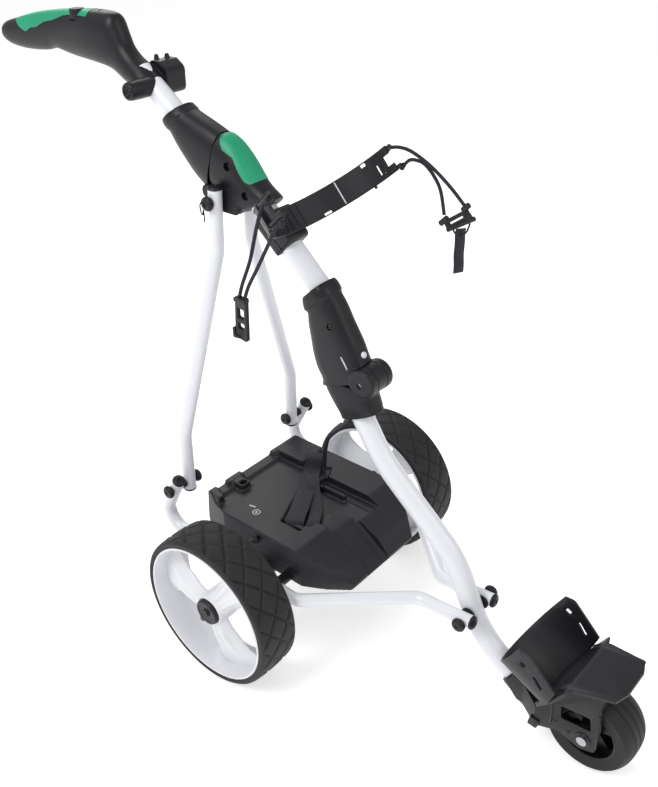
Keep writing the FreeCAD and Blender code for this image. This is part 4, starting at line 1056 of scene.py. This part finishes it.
def cradle_band(name, start, stop, thick, low, high, inner=138):
    """A curved strip of the cradle between two angles in degrees, with soft edges."""
    start, stop = math.radians(start), math.radians(stop)
    steps = max(4, int(abs(stop - start) / math.radians(3)))
    shape = [(low, inner + 0.8), (low + 0.8, inner), (high - 0.8, inner), (high, inner + 0.8),
             (high, inner + thick - 0.8), (high - 0.8, inner + thick), (low + 0.8, inner + thick),
             (low, inner + thick - 0.8)]
    points = []
    faces = []
    for step in range(steps + 1):
        turn = start + (stop - start) * step / steps
        points += [on_cradle(turn, radius, along) for along, radius in shape]
    count = len(shape)
    for step in range(steps):
        here = step * count
        for index in range(count):
            after = (index + 1) % count
            faces.append([here + index, here + after, here + count + after, here + count + index])
    faces += [list(range(count)), list(range(steps * count, (steps + 1) * count))]
    return raw(name, points, faces)


def cradle_rod(name, radius, start, stop):
    """A round bar between two places (angle in degrees, radius, along) of the cradle."""
    ends = [on_cradle(math.radians(turn), reach, along) for turn, reach, along in (start, stop)]
    return rod(name, radius, *ends, 16)


def bag_cradle():
    """The half-round band with edge ribs, notches, a pale cross line and framed ends."""
    band = cradle_band("band", -88, 88, 3.4, -22, 22)
    parts = [cradle_band("edge", -88, 88, 5, low, low + 1.8) for low in (-23, 21.2)]
    parts += [cradle_band("flank", -34, 34, 9, low, low + 4, 139) for low in (-14, 10)]
    tools = []
    cuts = (("notch", 25, 31, 17, 30), ("notch", 64, 68, -30, -15), ("slot", 74, 75.6, -4, 14),
            ("scoop", 82, 92, -9, 9))
    for sign in (-1, 1):
        for name, start, stop, low, high in cuts:
            tools.append(cradle_band(name, sign * start, sign * stop, 20, low, high, 130))
        tools.append(cradle_rod("eyelet", 1.8, (sign * 78, 120, 15), (sign * 78, 150, 15)))
    carve(band, *tools)
    for sign in (-1, 1):
        for low in (-19.5, 14.5):
            parts.append(cradle_band("frame", sign * 70, sign * 88, 7, low, low + 5))
        parts.append(cradle_band("bridge", sign * 69, sign * 71, 9, -20, 20))
        parts.append(cradle_rod("peg", 2.6, (sign * 66, 142, 20), (sign * 66, 142, 27)))
        for along in (-18, 18):
            parts.append(cradle_rod("post", 3.4, (sign * 87, 143, along), (sign * 91, 143, along)))
    saddle = slab("saddle", [(-31, 24.8), (31, 24.8), (42, 37, 3), (26, 37.5), (-26, 37.5),
                             (-42, 37, 3)], -19, 19, on_clamp)
    for turn in (-9, -3, 3, 9):
        parts.append(cradle_band("rib", turn - 0.5, turn + 0.5, 7, -19, 19, 136.6))
    cut_tube = rod("tube", 20.2, on_clamp(0, 0, -70), on_clamp(0, 0, 70), 48)
    carve(saddle, cut_tube)
    keep = slab("keep", [(-60, 31.3), (60, 31.3), (60, 60), (-60, 60)], -60, 60, on_clamp)
    combine(saddle, [keep], "INTERSECT")
    made = merge("cradle", [band, saddle] + parts)
    finish_piece(made, "bag_cradle_band", "mast", "black_plastic", ["bag_cradle"])
    mark = cradle_band("line", 42, 43, 0.5, -21, 21, 137.5)
    finish_piece(mark, "cradle_line", "mast", "white_plastic", look="pale_mark")


def cord(points):
    """A braided elastic cord along a smooth line."""
    return sweep("cord", smooth_path(points, 8), round_shape(3, 12))


def flat_shape(half_width, half_depth):
    """The cross-section of a webbing, with broken corners."""
    soft, thin = half_width - 0.5, half_depth - 0.4
    return [(-half_width, -thin), (-soft, -half_depth), (soft, -half_depth), (half_width, -thin),
            (half_width, thin), (soft, half_depth), (-soft, half_depth), (-half_width, thin)]


def cords():
    """The hanging cords with their hook, and the arched cords with buckle and webbing."""
    right = [
        [(86, -148, 921), (78, -149, 915), (62, -149, 876), (44, -150, 820), (20, -148, 772),
         (8, -146, 744)],
        [(114, -148, 893), (104, -149, 887), (84, -150, 852), (60, -150, 812), (34, -148, 772),
         (20, -146, 744)],
    ]
    left = [
        [(84, 150, 930), (104, 149, 935), (128, 148, 934), (158, 146, 924), (187, 144, 909),
         (218, 142, 888), (246, 141, 864)],
        [(114, 150, 904), (128, 149, 917), (142, 148, 920), (160, 147, 917), (180, 145, 902),
         (196, 143, 880), (206, 141, 842)],
    ]
    ties = []
    for line in right + left:
        ties.append(lathe("tie", [(0, -5), (4.2, -5), (4.6, -3), (4.6, 3), (4.2, 5), (0, 5)],
                          line[0], (0.5, 0, 0.8), 20))
    made = merge("cords", [cord(line) for line in right + left] + ties)
    finish_piece(made, "bag_cords_braided", "mast", "cord", ["bag_cords"], angle=60)
    hook = slab("plate", [(-4, 672, 3), (22, 668, 3), (26, 744, 4), (2, 746, 4)], -150, -143)
    fuse(hook, slab("hook", [(-8, 690, 3), (-3, 690), (-3, 676, 2), (8, 676, 2), (8, 672, 2),
                             (-8, 670, 3)], -152, -141),
         slab("bar", [(0, 738, 2), (25, 738, 2), (25, 746, 2), (0, 746, 2)], -152, -141))
    carve(hook, slab("slot", [(4, 690, 2), (18, 688, 2), (19, 700, 2), (4, 702, 2)], -160, -130),
          slab("slot", [(5, 710, 2), (19, 708, 2), (20, 726, 2), (5, 728, 2)], -160, -130))
    bevel(hook, 1, 2)
    finish_piece(hook, "cord_hook_moulded", "mast", "black_plastic", ["cord_hook"])
    buckle = slab("buckle", [(206, 832, 3), (248, 861, 3), (263, 845, 3), (216, 817, 3)], 137.5,
                  144.5)
    for low, high in (((217, 829), (244, 848)), ((221, 824), (250, 842))):
        run = Vector((high[0] - low[0], high[1] - low[1])).normalized()
        side_way = Vector((-run.y, run.x)) * 1.5
        corners = [Vector(end) + side_way * way for end, way in
                   ((low, -1), (high, -1), (high, 1), (low, 1))]
        carve(buckle, slab("slot", corners, 120, 160))
    bevel(buckle, 0.9, 2)
    lugs = [rod("lug", 5, (200, 141, 826), (212, 141, 838), 20), rod("lug", 5, (242, 141, 858),
            (252, 141, 868), 20), rod("bar", 4, (214, 141, 818), (264, 141, 848), 20)]
    ring_line = [(224, 141, 824), (228, 141, 816), (238, 141, 814), (250, 141, 822), (256, 141, 838)]
    ring = sweep("ring", smooth_path(ring_line, 6), round_shape(1.6, 10))
    made = merge("buckle", [buckle, ring] + lugs)
    finish_piece(made, "cord_buckle_ladder", "mast", "black_plastic", ["cord_buckle"])
    tail_line = [(240, 141, 826), (238.5, 141, 818), (238.6, 141, 800), (237.6, 141, 780),
                 (238.6, 141, 762), (238.2, 141, 748)]
    tail = sweep("tail", smooth_path(tail_line, 6), flat_shape(9.5, 1.1), (0.45, 0.9, 0))
    finish_piece(tail, "webbing_tail_woven", "mast", "webbing", ["webbing_tail"], angle=50)


# ---------------------------------------------------------------- battery tray

def block(low_x, high_x, low_y, high_y, radius, low, high=300):
    """A rounded rectangle in plan, pushed upwards."""
    return slab("block", [(low_x, low_y, radius), (high_x, low_y, radius), (high_x, high_y, radius),
                          (low_x, high_y, radius)], low, high, from_above)


def battery_tray():
    """The moulded tray: raised rear rim, anchor block, plateaus, slots, trough and nose."""
    side_line = [(-156, 180), (-160, 200, 8), (-151, 272, 5), (-136, 272, 5), (-124, 257, 8),
                 (100, 257, 18), (168, 222, 30), (197, 190, 8), (188, 178, 5)]
    base = slab("tray", side_line, -144, 144)
    for sign in (-1, 1):
        carve(base, slab("nose", [(104, sign * 146), (150, sign * 122, 20), (212, sign * 76),
                                  (240, sign * 170), (104, sign * 170)], 150, 300, from_above))
        carve(base, slab("rear", [(-70, sign * 150), (-176, sign * 120), (-176, sign * 170),
                                  (-70, sign * 170)], 150, 300, from_above))
    anchor = slab("anchor", [(-142, 60, 5), (-66, 60, 5), (-60, 88, 5), (-66, 126, 5),
                             (-142, 126, 5)], 250, 275, from_above)
    fuse(base, anchor)
    horn = slab("horn", [(-152, -126, 5), (-112, -134, 5), (-112, -120, 4), (-138, -112, 5)], 250,
                274, from_above)
    bump = slab("bump", [(-146, -74, 4), (-108, -74, 4), (-106, -50, 4), (-146, -50, 4)], 250, 271,
                from_above)
    fuse(base, horn, bump)
    bevel(base, 3.2, 3, 25)
    low_deck = [(62, -50, 10), (125, -50, 10), (125, 49, 4), (62, 49, 10)]
    channel = [(-59, 79), (-20, 101), (62, -72), (62, -92), (16, -92)]
    wedge = [(-16, 40, 3), (66, 40, 3), (72, -72, 3), (40, -76, 3)]
    tools = [
        # the two gaps in the rear rim, the anchor's pocket and the far slot
        block(-170, -126, -108, -80, 4, 262), block(-170, -126, -40, 50, 4, 262),
        block(-122, -111, -70, -54, 2, 256), block(-13, 125, 46, 72, 3, 240.5),
        slab("low_deck", low_deck, 244, 300, from_above),
        slab("channel", channel, 252.6, 300, from_above),
        block(14, 64, -94, -84, 2, 236),
        slab("wedge", wedge, 243, 300, from_above),
    ]
    carve(base, *tools)
    trough = slab("trough", [(52, 300), (58, 246, 14), (110, 243, 30), (214, 168), (260, 168),
                             (260, 300)], -53, 13, steps=8)
    bevel(trough, 7, 4, 25)
    carve(base, trough)
    hollow = slab("hollow", [(-152, 160), (-147, 250), (28, 250), (32, 236), (60, 236), (104, 232),
                             (150, 196), (150, 160)], -116, 116)
    carve(hollow, block(-20, 130, 36, 76, 0, 238, 251), block(10, 76, -98, -70, 0, 232, 251),
          slab("solid", [(-22, 44), (72, 44), (78, -78), (30, -82)], 239, 251, from_above))
    carve(base, hollow)
    for sign in (-1, 1):
        groove = slab("groove", [(-140, sign * 141.6), (150, sign * 141.6), (150, sign * 150),
                                 (-140, sign * 150)], 206, 209, from_above)
        carve(base, groove)
    remesh(base, 1.9, 3)
    parts = []
    for sign in (-1, 1):
        low, high = sorted((sign * 140, sign * 171.3))
        parts.append(bevel(brick("ear", (63, low, 180.6), (84, high, 190.4)), 2, 3))
    made = merge("tray", [base] + parts)
    bevel(made, 0.7, 2, 40)
    finish_piece(made, "battery_tray_moulding", "chassis", "black_plastic", ["battery_tray"],
                 look="tray_plastic", angle=32)


def strap():
    """Battery strap: webbing from the anchor block down across the tray into the near slot."""
    run = [(-66, 101, 262), (-64, 98, 276), (-60, 91, 277.2), (-54, 80, 274), (-49, 71, 262),
           (-42, 60, 257), (-30, 40, 256), (-6, -2, 255.6), (18, -44, 255.6), (32, -70, 256.2),
           (38, -80, 254), (42, -86, 244)]
    shape = [(-18, -0.8), (-17.4, -1.2), (17.4, -1.2), (18, -0.8), (18, 0.8), (17.4, 1.2),
             (-17.4, 1.2), (-18, 0.8)]
    made = sweep("strap", smooth_path(run, 6), shape, (0.877, 0.481, 0))
    finish_piece(made, "battery_strap_webbing", "chassis", "webbing", ["battery_strap"], angle=50)
    fold = [(-30, 52, 262), (-14, 34, 261), (10, 10, 253), (40, -20, 250), (60, -50, 250),
            (66, -64, 247)]
    tail = sweep("tail", smooth_path(fold, 6), [(u * 0.7, v) for u, v in shape], (0.7, 0.7, 0.1))
    finish_piece(tail, "battery_strap_loose_end", "chassis", "webbing", angle=50)


def tool_mark():
    """A generic round-and-bar symbol printed on the tray."""
    ring = lathe("ring", [(6.4, 0), (8, 0), (8, 0.35), (6.4, 0.35)], (-40, -104, 256.9), (0, 0, 1), 40,
                 closed=True)
    dot = lathe("dot", [(0, 0), (2.6, 0), (2.6, 0.35), (0, 0.35)], (-40, -104, 256.9), (0, 0, 1), 24)
    bar = slab("bar", [(-66, -98, 1), (-52, -95, 1), (-52.6, -92.4, 1), (-66.6, -95.4, 1)], 256.9,
               257.25, from_above)
    finish_piece(merge("mark", [ring, dot, bar]), "tray_symbol", "chassis", "white_plastic",
                 look="pale_mark")


def underside():
    """Motor, gearbox, axle tubes with rail clamps, and the speed controller with its cooler."""
    outline = [(0, 0), (23, 0), (24, 1.2), (24, 14), (23.2, 15), (23.2, 17), (24, 18), (24, 70),
               (23.2, 71), (23.2, 73), (24, 74), (24, 88), (22.4, 90), (9, 90), (8, 92), (0, 92)]
    can = lathe("can", outline, (46, 24.1, AXLE_Z), Y_AXIS, 64)
    carve(can, rod("bore", 3.1, (46, 20, AXLE_Z), (46, 45, AXLE_Z)))
    parts = [can]
    for index in range(8):
        turn = 2 * math.pi * index / 8
        x, z = 46 + 17 * math.cos(turn), AXLE_Z + 17 * math.sin(turn)
        parts.append(rod("bolt", 2, (x, 113.6, z), (x, 115.4, z), 12))
    finish_piece(merge("motor", parts), "motor_can", "chassis", "black_steel", ["motor"])
    for node, sign in (("gearbox_case", -1), ("gearbox_cover", 1)):
        shape = [(-48, 107, 47), (46, 107, 30), (61, 140, 14), (61, 170, 14), (46, 203, 30),
                 (-48, 203, 47)]
        low, high = (-24, -0.1) if sign < 0 else (0.1, 24)
        half = bevel(slab("half", shape, low, high, steps=10), 2.4, 3)
        inner = [(-45, 110, 44), (44, 110, 28), (58, 141, 12), (58, 169, 12), (44, 200, 28),
                 (-45, 200, 44)]
        carve(half, slab("inner", inner, -21 if sign < 0 else -1, 1 if sign < 0 else 21, steps=10),
              rod("axle_hole", 7, (0, -60, AXLE_Z), (0, 60, AXLE_Z)),
              rod("motor_hole", 4, (46, -60, AXLE_Z), (46, 60, AXLE_Z)))
        bosses = [half]
        for index in range(6):
            turn = 2 * math.pi * (index + 0.5) / 6
            x, z = 49 * math.cos(turn) * 0.93 - 1, AXLE_Z + 45.6 * math.sin(turn) * 0.98
            y = sign * 0.2
            bosses.append(lathe("boss", [(0, 0), (4.6, 0), (4.2, 11), (0, 11)], (x, y, z), (0, sign, 0),
                                20))
        finish_piece(merge(node, bosses), node + "_cast", "chassis", "black_plastic", [node])
    housings = []
    for _, sign in SIDES:
        outline = [(14, 24.3), (17.5, 24.3), (17.5, 40), (19.4, 42), (19.4, 50), (17.5, 52),
                   (17.5, 178), (20.5, 182), (20.5, 195), (19.5, 196), (14, 196)]
        housings.append(lathe("tube", outline, (0, 0, AXLE_Z), (0, sign, 0), 48, closed=True))
        low, high = sorted((sign * 174, sign * 194))
        saddle = slab("saddle", [(-18, 168, 3), (18, 168, 3), (15, 181.5, 2), (-15, 181.5, 2)], low,
                      high)
        housings.append(bevel(saddle, 1.2, 2))
        for x in (-14, 14):
            housings.append(grip_knob((x * 0.6, sign * 168, 176), (0, -sign, 0), 6.5, 9))
    finish_piece(merge("housings", housings), "axle_housing_tubes", "chassis", "black_steel",
                 ["axle_housings"])
    box = brick("box", (-138, -55, 206), (-60, 55, 236))
    fins = [brick("fin", (-134 + 9.4 * index, -50, 203), (-130 + 9.4 * index, 50, 207))
            for index in range(8)]
    finish_piece(merge("box", [bevel(box, 2.5, 3)] + [bevel(fin, 0.6, 2) for fin in fins]),
                 "controller_box_finned", "chassis", "black_plastic", ["controller_box"])


def power_lead():
    """The lead from under the hinge that curves down to the battery place."""
    line = [(126, 0, 486), (112, 0, 472), (90, 8, 450), (56, 26, 416), (22, 44, 378),
            (-4, 64, 332), (-20, 78, 294), (-27, 84, 270), (-28, 84, 258)]
    lead = sweep("lead", smooth_path(line, 8), round_shape(4.6, 14))
    finish_piece(lead, "power_lead_cable", "chassis", "cord", ["power_lead"], angle=60)


# ---------------------------------------------------------------- front bracket and bag base

def front_bracket():
    """The cast fork: collar on the leg, ribbed bridge, windowed plates and nuts."""
    shape = [(486, 86, 5), (498, 112, 4), (556, 92, 4), (561, 99), (600, 162), (622, 190), (650, 196, 4),
             (664, 190, 6), (672, 120, 8), (668, 62, 9), (640, 54, 8), (600, 66, 6), (560, 50, 5),
             (548, 52, 4), (508, 60, 5)]
    body = slab("fork", shape, -47, 47, steps=6)
    gap = lathe("gap", [(0, -43), (84, -43), (84, 43), (0, 43)], (FRONT_X, 0, FRONT_Z), Y_AXIS, 96)
    low_gap = slab("low_gap", [(600, -20), (760, -20), (760, 150), (600, 150)], -43, 43)
    window = slab("window", [(602, 100, 4), (600, 128, 4), (652, 134, 5), (656, 106, 4)], -60, 60)
    waists = [slab("waist", [(430, sign * 27), (520, sign * 27, 20), (556, sign * 47, 10),
                             (556, sign * 90), (430, sign * 90)], 20, 260, from_above)
              for sign in (-1, 1)]
    lean = slab("lean", [(540, 99), (561, 99), (620, 191), (700, 205), (700, 240), (540, 240)], -60,
                60)
    carve(body, gap, low_gap, window, *waists)
    carve(body, lean)
    arm = Vector((-0.853, 0, 0.522))
    collar = lathe("collar", [(20, 0), (26, 0), (27, 6), (26, 36), (24.6, 41.5), (20, 41.5)],
                   vec(518.4, 0, 70.8), arm, 56)
    fuse(body, collar)
    bevel(body, 1.6, 3, 30)
    sleeve = rod("sleeve", TUBE_FIT, vec(520, 0, 69.8), vec(440, 0, 118.8), 56)
    carve(body, sleeve)
    carve(body, rod("axle", 5.1, (FRONT_X, -60, FRONT_Z), (FRONT_X, 60, FRONT_Z)))
    ribs = []
    for sign in (-1, 1):
        for x in (585, 668):
            ribs.append(bevel(slab("rib", [(x - 2, 74), (x + 2, 74), (x + 1, 150), (x - 3, 150)],
                                   *sorted((sign * 46.6, sign * 48.6))), 0.6, 2))
        ribs.append(lathe("washer", [(5.2, 46), (15, 46), (14, 48.8), (5.2, 48.8)],
                          (FRONT_X, 0, FRONT_Z), (0, sign, 0), 40, closed=True))
    tab = bevel(slab("tab", [(544, 46, 3), (562, 44, 4), (566, 64, 2), (548, 66, 2)], -50, -40), 1, 2)
    made = merge("bracket", [body, tab] + ribs)
    finish_piece(made, "front_bracket_cast", "front_leg", "black_plastic", ["front_bracket"],
                 angle=32)
    for index, (x, z) in enumerate(((592, 84), (618, 76))):
        screw(f"fork_screw_{index}", (x, -47.2, z), (0, -1, 0), "front_leg", radius=4)


BASE_FLOOR = vec(526, 0, 118)
BASE_ALONG = vec(0.883, 0, -0.469)
BASE_UP = vec(0.469, 0, 0.883)


def in_base(u, v, w):
    """A point in the bag base's frame: across, up from its floor, along it."""
    return BASE_FLOOR + Y_AXIS * u + BASE_UP * v + BASE_ALONG * w


def bag_base():
    """The U-shaped lower bag rest with ribbed end wall and the flat lip over the wheel."""
    steps = 40
    points = []

    def profile(t):
        """Outer point and its inward normal along the U, t from -1 to 1."""
        arc = math.pi * 76 / 2
        straight = 28
        total = arc + straight
        s = abs(t) * total
        if s < arc:
            turn = s / 76
            u, v = 80 * math.sin(turn), 80 - 80 * math.cos(turn)
            nu, nv = -math.sin(turn), math.cos(turn)
        else:
            u, v = 80, 80 + (s - arc) * 36 / 28
            nu, nv = -1, 0
        side_sign = 1 if t >= 0 else -1
        return u * side_sign, v, nu * side_sign, nv

    rows = []
    for step in range(steps + 1):
        t = -1 + 2 * step / steps
        u, v, nu, nv = profile(t)
        lean = max(0, abs(t) - 0.35) / 0.65
        start = -58 + 4 * (1 - math.cos(abs(t) * math.pi / 2))
        stop = 40 - 11 * lean ** 3
        rows.append((u, v, nu, nv, start, stop))
    lanes = 10
    for u, v, nu, nv, start, stop in rows:
        for skin in (0, 4):
            for lane in range(lanes + 1):
                w = start + (stop - start) * lane / lanes
                points.append(in_base(u + nu * skin, v + nv * skin, w))
    shell = raw("shell", points, two_skins(len(rows), lanes))

    def from_side(u, v, w):
        """Outline in the shell's side view (along, up), pushed across."""
        return in_base(w, v, u)

    for sign in (-1, 1):
        span = sorted((sign * 60, sign * 100))
        carve(shell, slab("corner", [(-90, 70), (-90, 140), (60, 140), (60, 84), (30, 94),
                                     (-38, 116, 12), (-55, 106, 10), (-60, 82)], *span, from_side, 8))
        carve(shell, slab("square", [(-37, 82, 1), (-27, 82, 1), (-27, 92, 1), (-37, 92, 1)], *span,
                          from_side))
        carve(shell, slab("slot", [(-8, 83, 2), (-6, 88, 2), (18, 78, 2), (16, 72, 2)], *span,
                          from_side))
    bevel(shell, 1.1, 2, 40)
    wall = slab("wall", [(552, 98, 1), (557, 93.6, 1), (617, 190.6, 4), (699, 205, 1), (698, 210, 1),
                         (614, 195, 5)], -81, 81)
    for sign in (-1, 1):
        carve(wall, slab("taper", [(540, sign * 36), (571, sign * 58), (596, sign * 76),
                                   (617, sign * 80), (623, sign * 62), (689, sign * 55, 6),
                                   (701, sign * 22), (720, sign * 90), (540, sign * 90)],
                         60, 240, from_above))
    bevel(wall, 1.2, 2, 30)
    parts = [shell, wall]
    for index in range(5):
        reach = 18 + index * 9
        height = index * 9
        x, z = 555.5 + 0.6 * (20 + height), 96 + 0.98 * (20 + height)
        parts.append(bevel(slab("rib", [(x - 3.4, z + 1.6), (x - 1, z + 5.4), (x + 2.4, z + 3.6),
                                        (x, z - 0.4)], -reach, reach), 0.7, 2))
    for sign in (-1, 1):
        wing_out = slab("plate", [(602, 176), (617, 190.6), (691, 204), (690, 209), (614, 195),
                                  (598, 180)], *sorted((sign * 50, sign * 66)))
        carve(wing_out, slab("cut", [(560, sign * 58), (626, sign * 66), (690, sign * 54),
                                     (720, sign * 54), (720, sign * 90), (560, sign * 90)], 60, 240,
                             from_above))
        parts.append(bevel(wing_out, 1, 2))
    made = merge("base", parts)
    finish_piece(made, "bag_base_shell", "front_leg", "black_plastic", ["bag_base"],
                 look="tray_plastic", angle=34)


# ---------------------------------------------------------------- plain metal and tubes

def dress_cad_nodes():
    """Procedural finishes for the CAD solids that stay in view."""
    white = ["rail_right", "rail_left", "strut_right", "strut_left", "lower_spine_tube",
             "mid_spine_tube", "handle_shaft_tube"]
    steel = ["rail_bolts", "strut_top_bolt", "hinge_pins", "front_axle_bolt", "rear_axle",
             "axle_bearings", "front_bearings"]
    gears = ["drive_gear", "motor_pinion"]
    plain = ["rail_spacers"]
    for names, look in ((white, "white_paint"), (steel, "steel"), (gears, "gear_steel"),
                        (plain, "black_plastic")):
        for name in names:
            node = NODES[name]
            node.data.materials.clear()
            node.data.materials.append(MATERIALS[look])
            for face in node.data.polygons:
                face.material_index = 0


# ---------------------------------------------------------------- camera, light and floor

def camera():
    """A camera at the photograph's angle."""
    azimuth, elevation, roll = math.radians(41.29), math.radians(30.98), math.radians(-1.82)
    forward = Vector((-math.sin(azimuth) * math.cos(elevation),
                      math.cos(azimuth) * math.cos(elevation), -math.sin(elevation)))
    right = Vector((math.cos(azimuth), math.sin(azimuth), 0))
    upward = right.cross(forward)
    right_rolled = right * math.cos(roll) + upward * math.sin(roll)
    up_rolled = upward * math.cos(roll) - right * math.sin(roll)
    turn = Matrix((right_rolled, up_rolled, -forward)).transposed()
    data = bpy.data.cameras.new("camera")
    data.lens = 42.39
    data.sensor_width = 36
    data.clip_end = 50
    made = bpy.data.objects.new("camera", data)
    place = Vector((1014.3, -1079.6, 1378.4)) * MM + FORWARDS
    made.matrix_world = Matrix.Translation(place) @ turn.to_4x4()
    bpy.context.scene.collection.objects.link(made)
    bpy.context.scene.camera = made


def area_light(name, place, aim, extent, power_watts):
    """A soft rectangular light."""
    data = bpy.data.lights.new(name, "AREA")
    data.shape = "RECTANGLE"
    data.size = extent
    data.size_y = extent
    data.energy = power_watts
    made = bpy.data.objects.new(name, data)
    place = Vector(place)
    made.location = place
    made.rotation_euler = (Vector(aim) - place).to_track_quat("-Z", "Y").to_euler()
    bpy.context.scene.collection.objects.link(made)


def studio():
    """A plain pale floor and plain soft light."""
    mesh = bpy.data.meshes.new("floor")
    reach = 14
    mesh.from_pydata([(-reach, -reach, 0), (reach, -reach, 0), (reach, reach, 0), (-reach, reach, 0)],
                     [], [(0, 1, 2, 3)])
    floor = bpy.data.objects.new("floor", mesh)
    bpy.context.scene.collection.objects.link(floor)
    pale = material("floor_pale", (0.86, 0.86, 0.865, 1), 0.85, 60, 0.02, 0.01)
    glow = pale.node_tree.nodes["Principled BSDF"]
    glow.inputs["Emission Color"].default_value = (1, 1, 1, 1)
    glow.inputs["Emission Strength"].default_value = 0.5
    mesh.materials.append(pale)
    world = bpy.data.worlds.new("studio")
    world.use_nodes = True
    world.node_tree.nodes["Background"].inputs["Color"].default_value = (1, 1, 1, 1)
    world.node_tree.nodes["Background"].inputs["Strength"].default_value = 0.55
    bpy.context.scene.world = world
    area_light("key", (-0.4, -2.4, 3.0), (0, 0, 0.5), 1.6, 62)
    area_light("fill", (2.6, 0.6, 2.4), (0, 0, 0.5), 2.0, 20)
    area_light("back", (-2.4, 1.4, 2.6), (0, 0, 0.6), 1.8, 30)
    view = bpy.context.scene.view_settings
    view.view_transform = "Standard"
    view.exposure = 0.0


# ---------------------------------------------------------------- everything

for side_name, side_sign in SIDES:
    rear_tyre(side_name, side_sign)
    rear_rim(side_name, side_sign)
    hub_cap(side_name, side_sign)
    wheel_button(side_name, side_sign)
front_wheel()
caps_and_knobs()
lower_housings()
fold_button()
upper_housings()
handle()
bag_clamp()
bag_cradle()
cords()
battery_tray()
strap()
tool_mark()
underside()
power_lead()
front_bracket()
bag_base()
dress_cad_nodes()
camera()
studio()
